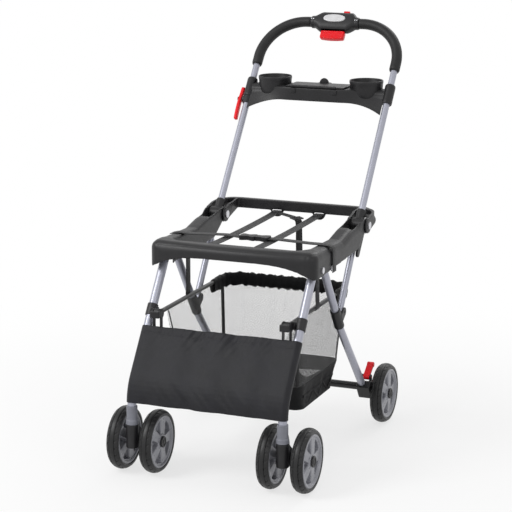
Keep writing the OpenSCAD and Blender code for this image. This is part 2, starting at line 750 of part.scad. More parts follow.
module caster_fork(s) color(c_black) place() side(s) difference() {
  union() {
    translate([lane, -trail, wheel_r - 6]) cylinder(d = fork_d, h = leg_end_z - wheel_r + 6 - seat_gap);
    slab(lane - fork_w / 2, lane + fork_w / 2) polygon([
      [-trail, wheel_r + 46], [-trail + 12, wheel_r + 46], [14, wheel_r + 8], [12, wheel_r - 12],
      [-trail, wheel_r - 6]
    ]);
    rod_x(
      lane - twin_gap / 2 + hub_half + side_gap, lane + twin_gap / 2 - hub_half - side_gap,
      [0, wheel_r], fork_d
    );
    translate([lane, -trail, wheel_r]) cylinder(d = stem_d, h = tube_stop_z - wheel_r + 18);
  }
  bore_x([0, wheel_r], axle_d);
}
module front_axle(s) color(c_steel) place() side(s) {
  rod_x(lane - axle_half - cap_t, lane + axle_half + cap_t, [0, wheel_r], axle_d);
  rod_x(lane - axle_half - cap_t, lane - axle_half, [0, wheel_r], cap_d);
  rod_x(lane + axle_half, lane + axle_half + cap_t, [0, wheel_r], cap_d);
}
module tyre_shape() color(c_tyre) rotate_extrude() difference() {
  intersection() {
    translate([wheel_r - crown_r, 0]) circle(crown_r);
    translate([rim_d / 2, -tyre_w / 2]) square([wheel_r, tyre_w]);
  }
  for (z = [-1, 1]) translate([wheel_r - 2, z * tyre_w / 5 - groove_w / 2]) square([5, groove_w]);
}
// a corner of a pocket, on the side of a spoke, at a distance out along the spoke
function pocket_corner(t) = t * [cos(spoke_deg / 2), sin(spoke_deg / 2)]
  + spoke_w / 2 * [sin(spoke_deg / 2), -cos(spoke_deg / 2)];
module pocket_shape() {
  c = pocket_corner(hub_d / 2 + 3);
  arc = [for (k = [-4 : 4]) pocket_r * [cos(k / 4 * pocket_deg), sin(k / 4 * pocket_deg)]];
  polygon(concat([[c.x, -c.y]], arc, [c]));
}
module rim_shape() color(c_rim) difference() {
  rotate_extrude() polygon(concat(rim_half, [for (p = backwards(rim_half)) [p.x, -p.y]]));
  for (i = [0 : spokes - 1], m = [0, 1]) rotate((i + 0.5) * spoke_deg) mirror([0, 0, m])
    translate([0, 0, web_t / 2]) linear_extrude(spoke_t) pocket_shape();
}
function front_wheel_x(s, t) = s * (lane + t * twin_gap / 2);
module front_tyre(s, t) at_wheel(front_wheel_x(s, t), 0) tyre_shape();
module front_rim(s, t) at_wheel(front_wheel_x(s, t), 0) rim_shape();
module rear_tyre(s) at_wheel(s * track / 2, wheelbase) tyre_shape();
module rear_rim(s) at_wheel(s * track / 2, wheelbase) rim_shape();

// Rear legs and struts

module rear_leg(s) color(c_silver) place() side(s) difference() {
  yz(lane) swept_pipe(rear_path, leg_bend_r, rear_tube_d);
  bore_x(rear_pivot, pin_d + 2 * run_gap);
}
module rear_crossbar() color(c_black) place() rod_x(-bracket_x1, bracket_x1, rear_cross, rear_bar_d);
module bracket_side() {
  translate(rear_axle) circle(17);
  polygon([
    rear_end + [-26, 8], rear_end + [-14, 22], rear_end + [9, 16], rear_end + [37, 6],
    rear_axle + [15, 8], rear_axle + [-4, -16.5], rear_end + [-3, -26]
  ]);
}
module pedal_lug(x) slab(x, x + pedal_lug_t) {
  translate(pedal_pivot) circle(8);
  translate(pedal_pivot - [8, 24]) square([16, 24]);
}
module axle_brackets() color(c_black) place() sides() difference() {
  union() {
    slab(bracket_x1, bracket_x2) bracket_side();
    pedal_lug(lane - 4 - pedal_lug_t);
    pedal_lug(lane - 3 + pedal_w);
  }
  rear_leg_solid();
  bore_x(rear_axle, axle_d);
  bore_x(pedal_pivot, pedal_pin_d + 2 * run_gap);
}
module rear_axles() color(c_steel) place() sides() {
  rod_x(bracket_x1, rear_cap_x + cap_t, rear_axle, axle_d);
  rod_x(rear_cap_x, rear_cap_x + cap_t, rear_axle, cap_d);
}
module brake_pedal(s) color(c_red) place() side(s) {
  rod_x(lane - 4 - pedal_lug_t, lane - 3 + pedal_w + pedal_lug_t, pedal_pivot, pedal_pin_d);
  slab(lane - 3.5, lane - 3.5 + pedal_w) translate(pedal_pivot) rotate(pedal_deg) {
    circle(6.5);
    translate([0, -2]) square([42, 8]);
    translate([40, 1]) circle(7);
  }
}
module along_rear_leg(s) translate(rear_pivot) rotate(angle_of(rear_dir)) translate([s, 0]) children();
module strut_ear() {
  translate(strut_pivot) circle(11);
  along_rear_leg(strut_at - 11) square([22, strut_off]);
}
module strut_brackets() color(c_black) place() sides() difference() {
  union() {
    yz(lane) along_rear_leg(strut_at - 30) rotate([0, 90, 0])
      cylinder(d = rear_tube_d + 2 * clamp_wall, h = 60);
    for (x = [lane - strut_d / 2 - seat_gap - strut_ear_t, lane + strut_d / 2 + seat_gap])
      slab(x, x + strut_ear_t) strut_ear();
    rod_x(lane - strut_d / 2 - 7, lane + strut_d / 2 + 7, strut_pivot, strut_pin_d);
  }
  rear_leg_solid();
}
module strut(s) color(c_silver) place() side(s) difference() {
  union() {
    yz(lane) pipe([strut_pivot, lever_end + 22 * strut_dir], 1, strut_d);
    rod_x(lane - strut_d / 2, lane + strut_d / 2, strut_pivot, strut_d + 2);
    rod_x(lane - strut_d / 2 - 1.5, lane, lever_end, 10);
  }
  bore_x(strut_pivot, strut_pin_d + 2 * run_gap);
}

// Basket

module bar_bent(d) translate([0, 0, bar_z]) bar(bar_path, bar_bend_r, d);
module basket_bar() color(c_black) place() difference() {
  union() {
    bar_bent(bar_d);
    sides() rod_x(bar_x - boss_half, bar_x + boss_half, bar_pivot, boss_d);
  }
  bore_x(bar_pivot, fork_pin_d + 2 * run_gap);
}
module strap_loop(d) translate([bar_x, hang_y - loop_l / 2, bar_z]) rotate([-90, 0, 0])
  cylinder(d = d, h = loop_l);
module hem_roll(d) rod_x(-hem_half, hem_half, [bar_back, bar_z], d);
module level(z, half, y1, y2, r) translate([0, (y1 + y2) / 2, z])
  linear_extrude(0.5) round_rect(2 * half, y2 - y1, r, $fn = 32);
module mesh_form(in) hull() {
  level(bar_z - bar_d / 2 - 0.5 + in, bar_x + 1.2 - in, basket_y1 + in, bar_back + 1.2 - in, 40);
  level(band_z - in, bar_x - 3 - in, basket_y1 + band_front + in, bar_back - band_rear - in, 30);
}
module basket_mesh() color(c_mesh) place() difference() {
  mesh_form(0);
  mesh_form(mesh_t);
  sides() strap_loop(loop_d + cloth_gap);
  hem_roll(hem_d + cloth_gap);
}
module base_form(in) hull() {
  level(band_z - 0.5 + in, bar_x - 3 - in, basket_y1 + band_front + in, bar_back - band_rear - in, 30);
  level(floor_z + in, bar_x - 12 - in, basket_y1 + floor_front + in, bar_back - floor_rear - in, 24);
}
module basket_base() color(c_cloth) place() difference() {
  base_form(0);
  base_form(mesh_t);
}
module basket_hem() color(c_cloth) place() difference() {
  hem_roll(hem_d);
  bar_bent(bar_d);
}
module basket_straps() color(c_cloth) place() sides() difference() {
  union() {
    strap_loop(loop_d);
    translate([ring_in - cloth_gap - strap_t, hang_y - strap_w / 2, bar_z])
      cube([strap_t, strap_w, rear_pivot_z - bar_z + 4]);
  }
  bar_bent(bar_d);
}

seat_ring();
rear_bar();
hinge_pins();
leg_pins();
harness_straps();
strap_adjuster();
buckle_socket();
buckle_tongue();
handle_tube();
grip(-1);  // grip_left
grip(1);  // grip_right
console_front();
console_back();
badge_plate();
console_screws();
tray_body();
hinge_fittings();
latch_bracket();
tray_lid();
release_trigger();
lock_slider();
fold_latch();
lock_plungers();
front_leg(-1);  // front_leg_left
front_leg(1);  // front_leg_right
leg_ends();
front_crossbar();
front_panel();
bar_forks();
caster_fork(-1);  // caster_fork_left
caster_fork(1);  // caster_fork_right
front_axle(-1);  // front_axle_left
front_axle(1);  // front_axle_right
front_tyre(-1, 1);  // front_tyre_left_outer
front_tyre(-1, -1);  // front_tyre_left_inner
front_tyre(1, -1);  // front_tyre_right_inner
front_tyre(1, 1);  // front_tyre_right_outer
front_rim(-1, 1);  // front_rim_left_outer
front_rim(-1, -1);  // front_rim_left_inner
front_rim(1, -1);  // front_rim_right_inner
front_rim(1, 1);  // front_rim_right_outer
rear_tyre(-1);  // rear_tyre_left
rear_tyre(1);  // rear_tyre_right
rear_rim(-1);  // rear_rim_left
rear_rim(1);  // rear_rim_right
rear_leg(-1);  // rear_leg_left
rear_leg(1);  // rear_leg_right
rear_crossbar();
axle_brackets();
rear_axles();
strut_brackets();
brake_pedal(-1);  // brake_pedal_left
brake_pedal(1);  // brake_pedal_right
strut(-1);  // strut_left
strut(1);  // strut_right
basket_bar();
basket_mesh();
basket_base();
basket_hem();
basket_straps();
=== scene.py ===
import json
import math

import bmesh
import bpy
import numpy as np
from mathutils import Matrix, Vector
from mathutils.bvhtree import BVHTree


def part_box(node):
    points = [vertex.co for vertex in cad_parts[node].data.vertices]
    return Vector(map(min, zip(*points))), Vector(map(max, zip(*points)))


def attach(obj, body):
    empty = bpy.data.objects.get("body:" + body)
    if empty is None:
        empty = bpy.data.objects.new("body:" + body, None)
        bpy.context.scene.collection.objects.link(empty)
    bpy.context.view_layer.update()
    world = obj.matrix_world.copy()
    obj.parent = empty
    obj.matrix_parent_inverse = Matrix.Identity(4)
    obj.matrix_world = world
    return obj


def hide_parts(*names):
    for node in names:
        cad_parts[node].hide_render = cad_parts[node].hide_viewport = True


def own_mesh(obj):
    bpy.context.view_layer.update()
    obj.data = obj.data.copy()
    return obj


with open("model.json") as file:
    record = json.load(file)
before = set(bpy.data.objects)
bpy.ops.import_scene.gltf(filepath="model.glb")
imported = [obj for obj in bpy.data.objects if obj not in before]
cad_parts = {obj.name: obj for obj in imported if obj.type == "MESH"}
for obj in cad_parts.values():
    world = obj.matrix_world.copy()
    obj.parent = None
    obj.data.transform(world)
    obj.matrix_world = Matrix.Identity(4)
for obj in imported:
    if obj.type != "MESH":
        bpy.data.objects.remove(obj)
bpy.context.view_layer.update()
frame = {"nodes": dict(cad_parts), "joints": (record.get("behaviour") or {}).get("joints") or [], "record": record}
nodes = frame["nodes"]
record = frame["record"]
jointAt = {j["name"]: Vector(j["pos_m"]) for j in frame["joints"] if "pos_m" in j}
slotOf = {s["node"]: s["material_slot"] for s in record["subparts"]}
bodyOf = {n: b for b, members in record["behaviour"]["bodies"].items() for n in members}
mm = 0.001
scene = bpy.context.scene
print("frame loaded,", len(nodes), "nodes")


# places on the frame that the pieces are set out from
hinge = jointAt["handle_fold"]
frontAxleY = jointAt["front_wheel_left_outer_spin"].y
lane = abs(jointAt["caster_swivel_right"].x)
handleLean = math.radians(52.5)


# x across, s up the handle from its hinge, n out of its front, all in mm
def onHandle(x, s, n):
    y = hinge.y + (s * math.cos(handleLean) - n * math.sin(handleLean)) * mm
    z = hinge.z + (s * math.sin(handleLean) + n * math.cos(handleLean)) * mm
    return Vector((x * mm, y, z))


handleFront = onHandle(0, 0, 1) - onHandle(0, 0, 0)


def behindAxle(x, y, z):                # mm, with y measured back from the front axles
    return Vector((x * mm, frontAxleY + y * mm, z * mm))


def smoothStep(a, b, t):
    k = min(max((t - a) / (b - a), 0.0), 1.0)
    return k * k * (3 - 2 * k)


def ripple(t, seed=0.0):                # a few sines of unlike lengths, for folds that don't repeat
    waves = ((1, 1, 1), (0.6, 1.73, 2.1), (0.4, 2.91, 3.7))         # height, rate and shift
    return sum(high * math.sin(rate * t + shift * seed) for high, rate, shift in waves) / 2


# mesh makers

def meshObject(name, points, faces, uvs=None):
    mesh = bpy.data.meshes.new(name)
    mesh.from_pydata([tuple(p) for p in points], [], faces)
    if uvs is not None:
        layer = mesh.uv_layers.new(name="weave")
        for loop in mesh.loops:
            layer.data[loop.index].uv = uvs[loop.vertex_index]
    mesh.validate()
    mesh.shade_smooth()
    obj = bpy.data.objects.new(name, mesh)
    scene.collection.objects.link(obj)
    return obj


def gridFaces(rows, columns, around=False):
    across = columns if around else columns - 1
    return [
        (r * columns + c, r * columns + (c + 1) % columns,
         (r + 1) * columns + (c + 1) % columns, (r + 1) * columns + c)
        for r in range(rows - 1) for c in range(across)
    ]


def loft(name, rings, capped=True):     # a closed skin through rings of points
    count = len(rings[0])
    points = [p for ring in rings for p in ring]
    faces = gridFaces(len(rings), count, around=True)
    if capped:
        faces.append(tuple(range(count))[::-1])
        faces.append(tuple(range(len(points) - count, len(points))))
    girth = np.cumsum([0.0] + [(rings[0][k + 1] - rings[0][k]).length for k in range(count - 1)])
    run = np.cumsum([0.0] + [(b[0] - a[0]).length for a, b in zip(rings, rings[1:])])
    uvs = [(girth[k], run[r]) for r in range(len(rings)) for k in range(count)]
    obj = meshObject(name, points, faces, uvs)
    rightWayOut(obj)
    return obj


def rightWayOut(obj):
    work = bmesh.new()
    work.from_mesh(obj.data)
    bmesh.ops.recalc_face_normals(work, faces=work.faces)
    work.to_mesh(obj.data)
    work.free()


def directions(path):
    found = []
    for k in range(len(path)):
        a, b = path[max(k - 1, 0)], path[min(k + 1, len(path) - 1)]
        found.append((b - a).normalized())
    return found


# outline(k) gives (side, up) pairs at a step of the path
def sweep(name, path, outline, up, capped=True):
    rings = []
    for k, (p, d) in enumerate(zip(path, directions(path))):
        side = d.cross(up).normalized()
        top = side.cross(d).normalized()
        rings.append([p + side * a + top * b for a, b in outline(k)])
    return loft(name, rings, capped)


def circleOutline(radius, count=32):
    return [(radius * math.cos(2 * math.pi * k / count), radius * math.sin(2 * math.pi * k / count))
            for k in range(count)]


def ovalOutline(halfA, halfB, power, count=48):     # a circle at power 2, nearer a box above it
    def reach(half, share):
        return math.copysign(half * abs(share) ** (2 / power), share)

    return [(reach(halfA, c), reach(halfB, s)) for c, s in circleOutline(1, count)]


def strapOutline(width, thick):
    w, t = width / 2, thick / 2
    return [(-w, -t * 0.4), (-w + t, -t), (0, -t), (w - t, -t), (w, -t * 0.4),
            (w, t * 0.4), (w - t, t), (0, t), (-w + t, t), (-w, t * 0.4)]


def curveThrough(points, step=0.004):   # a smooth line through a few points
    pts = [points[0] * 2 - points[1], *points, points[-1] * 2 - points[-2]]
    line = []
    for k in range(1, len(pts) - 2):
        a, b, c, d = pts[k - 1:k + 3]
        count = max(2, int((c - b).length / step))
        for i in range(count):
            t = i / count
            line.append(0.5 * (2 * b + (c - a) * t + (2 * a - 5 * b + 4 * c - d) * t ** 2
                               + (3 * b - a - 3 * c + d) * t ** 3))
    line.append(pts[-2])
    return line


def lathe(name, profile, centre, steps=64):         # profile in (radius, x), turned about an axis along X
    rings = [
        [centre + Vector((x, r * math.cos(2 * math.pi * k / steps), r * math.sin(2 * math.pi * k / steps)))
         for k in range(steps)]
        for r, x in profile
    ]
    return loft(name, rings)


def settled(obj):                       # the modifiers' result becomes the mesh
    made = bpy.data.meshes.new_from_object(obj.evaluated_get(bpy.context.evaluated_depsgraph_get()))
    obj.modifiers.clear()
    obj.data = made
    return obj


def joined(name, parts):                # several meshes made one piece
    work = bmesh.new()
    for part in parts:
        work.from_mesh(part.data)
    mesh = bpy.data.meshes.new(name)
    work.to_mesh(mesh)
    work.free()
    for part in parts:
        bpy.data.objects.remove(part)
    obj = bpy.data.objects.new(name, mesh)
    scene.collection.objects.link(obj)
    return obj


def dressed(obj, finish, body, *standsFor, slot=None):
    obj.data.materials.clear()
    obj.data.materials.append(finishOf[finish])
    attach(obj, body)
    if standsFor:
        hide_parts(*standsFor)
    return obj


def addSmoothing(obj, rounds):
    ease = obj.modifiers.new("ease", "SMOOTH")
    ease.factor = 0.5
    ease.iterations = rounds


def softened(name, node, voxel, rounds):            # a moulded copy of a CAD node, its edges rounded off
    obj = bpy.data.objects.new(name, nodes[node].data.copy())
    scene.collection.objects.link(obj)
    obj.modifiers.new("weld", "WELD").merge_threshold = 0.00001
    cast = obj.modifiers.new("cast", "REMESH")
    cast.mode = "VOXEL"
    cast.voxel_size = voxel
    cast.use_smooth_shade = True
    addSmoothing(obj, rounds)
    settled(obj)
    return dressed(obj, slotOf[node], bodyOf[node], node)


# finishes

def startFinish(name):
    finish = bpy.data.materials.new(name)
    finish.use_nodes = True
    tree = finish.node_tree
    return finish, tree, tree.nodes["Principled BSDF"]


def addNode(tree, kind, **inputs):
    node = tree.nodes.new(kind)
    for key, value in inputs.items():
        node.inputs[key.replace("_", " ")].default_value = value
    return node


def toneRamp(tree, source, dark, light, low=0.3, high=0.7):
    ramp = tree.nodes.new("ShaderNodeValToRGB")
    ramp.color_ramp.elements[0].position = low
    ramp.color_ramp.elements[1].position = high
    ramp.color_ramp.elements[0].color = (*dark, 1)
    ramp.color_ramp.elements[1].color = (*light, 1)
    tree.links.new(source, ramp.inputs["Fac"])
    return ramp.outputs["Color"]


def spread(tree, source, low, high):
    span = addNode(tree, "ShaderNodeMapRange", To_Min=low, To_Max=high)
    tree.links.new(source, span.inputs["Value"])
    return span.outputs["Result"]


def noise(tree, where, scale, detail=3.0):
    made = addNode(tree, "ShaderNodeTexNoise", Scale=scale, Detail=detail)
    tree.links.new(where, made.inputs["Vector"])
    return made.outputs["Fac"]


def bump(tree, shader, height, strength, distance):
    made = addNode(tree, "ShaderNodeBump", Strength=strength, Distance=distance)
    tree.links.new(height, made.inputs["Height"])
    tree.links.new(made.outputs["Normal"], shader.inputs["Normal"])


def scaled(colour, by):
    return tuple(min(c * by, 1.0) for c in colour)


def mottled(tree, place, look):         # the finish's colour, darker and paler in patches
    patch = noise(tree, place, look["patch"])
    dark, pale = (scaled(look["colour"], 1 + way * look["shade"]) for way in (-1, 1))
    return patch, toneRamp(tree, patch, dark, pale)


def mouldedFinish(name, look):          # plastic, rubber, foam, paint and bare metal
    finish, tree, shader = startFinish(name)
    place = tree.nodes.new("ShaderNodeTexCoord").outputs["Object"]
    patch, tone = mottled(tree, place, look)
    edges = tree.nodes.new("ShaderNodeNewGeometry").outputs["Pointiness"]
    worn = tree.nodes.new("ShaderNodeMix")          # edges rubbed a little paler
    worn.data_type = "RGBA"
    worn.inputs[7].default_value = (*scaled(look["colour"], look.get("rubbed", 1.5)), 1)
    tree.links.new(toneRamp(tree, edges, (0, 0, 0), (0.7, 0.7, 0.7), 0.52, 0.62), worn.inputs[0])
    tree.links.new(tone, worn.inputs[6])
    tree.links.new(worn.outputs[2], shader.inputs["Base Color"])
    uneven = noise(tree, place, 2.3 * look["patch"])
    rough = spread(tree, uneven, look["rough"] - 0.06, look["rough"] + 0.06)
    tree.links.new(rough, shader.inputs["Roughness"])
    bump(tree, shader, noise(tree, place, look["grain"], 2.0), look["depth"], 0.0004)
    for socket in ("Metallic", "Coat Weight", "Coat Roughness", "Specular IOR Level"):
        if socket in look:
            shader.inputs[socket].default_value = look[socket]
    return finish


def joinedBy(tree, operation, *sources):            # a maths node fed by two sockets
    node = tree.nodes.new("ShaderNodeMath")
    node.operation = operation
    for k, source in enumerate(sources):
        tree.links.new(source, node.inputs[k])
    return node.outputs["Value"]


# cloth with its threads along the weave map, u across and v along, in metres
def wovenFinish(name, look):
    finish, tree, shader = startFinish(name)
    place = tree.nodes.new("ShaderNodeTexCoord").outputs["Object"]
    weave = tree.nodes.new("ShaderNodeUVMap")
    weave.uv_map = "weave"
    patch, tone = mottled(tree, place, look)
    tree.links.new(tone, shader.inputs["Base Color"])
    threads = []
    for across, pitch in (("X", look["warp"]), ("Y", look["weft"])):
        wave = addNode(tree, "ShaderNodeTexWave", Scale=math.pi / 10 / pitch, Distortion=0.4)
        wave.bands_direction = across
        tree.links.new(weave.outputs["UV"], wave.inputs["Vector"])
        threads.append(wave.outputs["Fac"])
    both = joinedBy(tree, "MULTIPLY" if look.get("plain", True) else "MAXIMUM", *threads)
    bump(tree, shader, both, look["depth"], 0.0005)
    rough = spread(tree, patch, look["rough"] - 0.08, look["rough"] + 0.08)
    tree.links.new(rough, shader.inputs["Roughness"])
    shader.inputs["Sheen Weight"].default_value = look["sheen"]
    shader.inputs["Sheen Roughness"].default_value = 0.4
    shader.inputs["Specular IOR Level"].default_value = look["gloss"]
    return finish


looks = {
    "black_plastic": {"colour": (0.0116, 0.0113, 0.0126), "shade": 0.22, "rough": 0.43, "patch": 30,
                      "grain": 1500, "depth": 0.3, "rubbed": 2.2, "Specular IOR Level": 0.36},
    "silver_paint": {"colour": (0.345, 0.352, 0.410), "shade": 0.05, "rough": 0.36, "patch": 60,
                     "grain": 2600, "depth": 0.08, "rubbed": 1.2, "Metallic": 0.5, "Coat Weight": 0.2,
                     "Coat Roughness": 0.2},
    "steel": {"colour": (0.46, 0.46, 0.48), "shade": 0.12, "rough": 0.33, "patch": 90, "grain": 1800,
              "depth": 0.1, "Metallic": 1.0},
    "grey_plastic": {"colour": (0.185, 0.190, 0.220), "shade": 0.08, "rough": 0.42, "patch": 40,
                     "grain": 1500, "depth": 0.18, "Specular IOR Level": 0.4},
    "red_plastic": {"colour": (0.80, 0.004, 0.011), "shade": 0.06, "rough": 0.32, "patch": 40,
                    "grain": 1300, "depth": 0.12, "rubbed": 1.25, "Specular IOR Level": 0.35,
                    "Coat Weight": 0.05},
    "foam": {"colour": (0.0100, 0.0100, 0.0105), "shade": 0.25, "rough": 0.52, "patch": 50, "grain": 750,
             "depth": 0.5, "rubbed": 1.3, "Specular IOR Level": 0.34},
    "tyre": {"colour": (0.0085, 0.0085, 0.0090), "shade": 0.3, "rough": 0.42, "patch": 45, "grain": 900,
             "depth": 0.3, "rubbed": 2.0, "Specular IOR Level": 0.4},
    "rim_plastic": {"colour": (0.255, 0.258, 0.284), "shade": 0.06, "rough": 0.29, "patch": 50,
                    "grain": 1700, "depth": 0.1, "rubbed": 1.35, "Metallic": 0.3},
    "black_paint": {"colour": (0.0090, 0.0090, 0.0098), "shade": 0.15, "rough": 0.30, "patch": 60,
                    "grain": 1900, "depth": 0.12, "Specular IOR Level": 0.45},
    "pearl_plastic": {"colour": (0.66, 0.66, 0.67), "shade": 0.05, "rough": 0.25, "patch": 70,
                      "grain": 1600, "depth": 0.05, "rubbed": 1.1, "Coat Weight": 0.4,
                      "Coat Roughness": 0.1},
}
wovenLooks = {
    "nylon": {"colour": (0.0112, 0.0112, 0.0142), "shade": 0.25, "rough": 0.45, "patch": 25,
              "warp": 0.0008, "weft": 0.0007, "depth": 0.3, "sheen": 0.02, "gloss": 0.25},
    "lining": {"colour": (0.0060, 0.0060, 0.0066), "shade": 0.3, "rough": 0.55, "patch": 30,
               "warp": 0.0008, "weft": 0.0007, "depth": 0.3, "sheen": 0.01, "gloss": 0.12},
    "mesh": {"colour": (0.13, 0.13, 0.13), "shade": 0.2, "rough": 0.6, "patch": 40, "warp": 0.0006,
             "weft": 0.0006, "depth": 0.3, "sheen": 0.05, "gloss": 0.4},
    "webbing": {"colour": (0.0095, 0.0095, 0.0105), "shade": 0.3, "rough": 0.55, "patch": 60,
                "warp": 0.0032, "weft": 0.0012, "depth": 0.6, "sheen": 0.06, "gloss": 0.35,
                "plain": False},
}
finishOf = {name: mouldedFinish(name, look) for name, look in looks.items()}
finishOf.update({name: wovenFinish(name, look) for name, look in wovenLooks.items()})
print("finishes made,", len(finishOf))


# CAD nodes that keep their shape take the finish of their slot
for name, node in nodes.items():
    node.data.materials.clear()
    node.data.materials.append(finishOf[slotOf[name]])


# moulded parts: node, voxel and smoothing rounds
mouldings = {
    "rearBar": ("rear_bar", 1.5, 14),
    "trayLid": ("tray_lid", 1.3, 6),
    "hingeFittings": ("hinge_fittings", 1.3, 5),
    "latchBracket": ("latch_bracket", 1.1, 4),
    "barForks": ("bar_forks", 1.2, 5),
    "legEnds": ("leg_ends", 1.1, 6),
    "casterHousingLeft": ("caster_fork_left", 1.2, 7),
    "casterHousingRight": ("caster_fork_right", 1.2, 7),
    "axleBrackets": ("axle_brackets", 1.3, 7),
    "strutBrackets": ("strut_brackets", 1.1, 5),
    "pedalLeft": ("brake_pedal_left", 0.9, 7),
    "pedalRight": ("brake_pedal_right", 0.9, 7),
    "lockSlider": ("lock_slider", 0.6, 5),
    "buckleSocket": ("buckle_socket", 0.8, 6),
    "buckleTongue": ("buckle_tongue", 0.8, 6),
}
eased = {name: softened(name, node, voxel * mm, rounds)
         for name, (node, voxel, rounds) in mouldings.items()}


def smoothed(obj, rounds):
    addSmoothing(obj, rounds)
    settled(obj)
    obj.data.shade_smooth()


# the rear bar's ears are drawn down to a smooth line from the hinge to the bar, with softer outer corners
ears = {"hingeY": 467, "barY": 542, "low": 551, "high": 561, "corner": 70, "half": 216.6,
        "back": 558, "keep": 0.12, "fade": 14, "soften": 0.5}
for v in eased["rearBar"].data.vertices:
    x, y, z = v.co.x / mm, (v.co.y - frontAxleY) / mm, v.co.z / mm
    along = min(max((y - ears["hingeY"]) / (ears["barY"] - ears["hingeY"]), 0), 1)
    top = ears["low"] + (ears["high"] - ears["low"]) * along
    if z > top:
        v.co.z = (top + ears["keep"] * (z - top)) * mm
    a, b = ears["half"] - abs(x), ears["back"] - y
    if a < ears["corner"] and b < ears["corner"] and z > ears["low"] - ears["fade"]:
        far = math.hypot(ears["corner"] - a, ears["corner"] - b)
        square = max(ears["corner"] - a, ears["corner"] - b)
        pull = (1 - square / far) * ears["soften"] * smoothStep(ears["low"] - ears["fade"], ears["low"], z)
        v.co.x -= math.copysign((ears["corner"] - a) * pull, x) * mm
        v.co.y -= (ears["corner"] - b) * pull * mm
smoothed(eased["rearBar"], 6)

# the buckle is narrower at its middle and lies a little low on the waist strap
buckle = {"x": 11, "from": -3, "share": 0.66, "y": 222, "drop": 7, "waist": 0.4, "waistAt": 15,
          "waistLong": 9}
for part in (eased["buckleSocket"], eased["buckleTongue"]):
    for v in part.data.vertices:
        away = (v.co.x / mm - buckle["from"]) * buckle["share"]
        off = (v.co.y - frontAxleY) / mm - buckle["y"]
        pinch = math.exp(-((abs(away) - buckle["waistAt"]) / buckle["waistLong"]) ** 2)
        wide = 1 - buckle["waist"] * pinch
        v.co = behindAxle(buckle["x"] + away, buckle["y"] + off * wide, v.co.z / mm - buckle["drop"])
print("mouldings eased,", len(mouldings))


# seat ring: its outer upper edge is rolled over to a wide round, and the inner one to a small one
ring = {"voxel": 1.7, "rounds": 4, "outer": 20, "inner": 7, "half": 211, "inside": 169, "front": 87,
        "bow": 1450, "corner": 25, "frontInside": 132, "innerCorner": 30, "rearEnd": 440, "ease": 6}
ringTree = BVHTree.FromObject(nodes["seat_ring"], bpy.context.evaluated_depsgraph_get())


# how deep a place lies inside two edges that meet in a round of radius r
def roundedCorner(a, b, r):
    if a >= r or b >= r:
        return min(a, b)
    return r - math.hypot(r - a, r - b)


def ringDepths(x, y):                   # mm in from the ring's outer edge, and from its inner one
    fromFront = ring["bow"] - math.hypot(x, y - ring["front"] - ring["bow"])
    outer = roundedCorner(ring["half"] - abs(x), fromFront, ring["corner"])
    inner = -roundedCorner(ring["inside"] - abs(x), y - ring["frontInside"], ring["innerCorner"])
    return outer, inner


def ringTop(x, y, z):
    at = behindAxle(x, y, 0)
    hit = ringTree.ray_cast(Vector((at.x, at.y, 0.7)), Vector((0, 0, -1)))[0]
    return hit.z / mm if hit else z


# a square edge bent to a round, keeping each layer's distance from the skin
def rolled(depth, drop, r):
    a, b = r - depth, r - drop
    if a <= 0 or b <= 0:
        return depth, drop
    k = max(a, b) / math.hypot(a, b)
    return r - a * k, r - b * k


seatRing = softened("seatRing", "seat_ring", ring["voxel"] * mm, ring["rounds"])
tops = {}
for v in seatRing.data.vertices:
    x, y, z = v.co.x / mm, (v.co.y - frontAxleY) / mm, v.co.z / mm
    for edge, r in enumerate((ring["outer"], ring["inner"])):
        depth = max(ringDepths(x, y)[edge], 0.0)
        if depth >= r or y > ring["rearEnd"]:
            continue
        key = (round(x / 3), round(y / 3))
        if key not in tops:
            tops[key] = ringTop(x, y, z)
        drop = max(tops[key] - z, 0.0)
        if drop >= r:
            continue
        inward = Vector((ringDepths(x + 0.5, y)[edge] - ringDepths(x - 0.5, y)[edge],
                         ringDepths(x, y + 0.5)[edge] - ringDepths(x, y - 0.5)[edge], 0))
        if inward.length > 0.1:
            fade = (1 - smoothStep(ring["rearEnd"] - 40, ring["rearEnd"], y)) * mm
            newDepth, newDrop = rolled(depth, drop, r)
            v.co += inward.normalized() * (newDepth - depth) * fade
            v.co.z += (drop - newDrop) * fade

# the front wall's lower edge is drawn to one long arch
skirt = {"low": 470, "rise": 503, "half": 196, "round": 40, "arch": 505, "fall": 30, "top": 536,
         "fade": (112, 138)}


def skirtLow(x):                        # the CAD wall's lower edge, and the arch that the moulding has
    past = min(max(abs(x) - (skirt["half"] - skirt["round"]), 0), skirt["round"])
    was = skirt["rise"] - skirt["round"] + math.sqrt(skirt["round"] ** 2 - past ** 2)
    arch = skirt["arch"] - skirt["fall"] * (abs(x) / skirt["half"]) ** 4
    return max(was, skirt["low"]), max(arch, skirt["low"])


for v in seatRing.data.vertices:
    x, y, z = v.co.x / mm, (v.co.y - frontAxleY) / mm, v.co.z / mm
    if y < skirt["fade"][1]:
        low, archLow = skirtLow(x)
        share = min(max((z - low) / (skirt["top"] - low), 0), 1)
        v.co.z += (1 - share) * (archLow - low) * (1 - smoothStep(*skirt["fade"], y)) * mm
smoothed(seatRing, ring["ease"])
print("seat ring rolled,", len(seatRing.data.vertices), "points")


# foam grips on the handle's bends
grip = {"radius": 13.5, "from": 438, "bow": 575, "bend": 112, "collar": 66, "lane": 189, "endRound": 3}


def gripPath(side):
    bend, bow, laneX = grip["bend"], grip["bow"], grip["lane"]
    points = [(laneX, s) for s in np.linspace(grip["from"], bow - bend, 6)]
    points += [(laneX - bend + bend * math.cos(a), bow - bend + bend * math.sin(a))
               for a in np.linspace(0, math.pi / 2, 40)[1:]]
    points += [(x, bow) for x in np.linspace(laneX - bend, grip["collar"], 5)[1:]]
    return [onHandle(side * x, s, 0) for x, s in points]


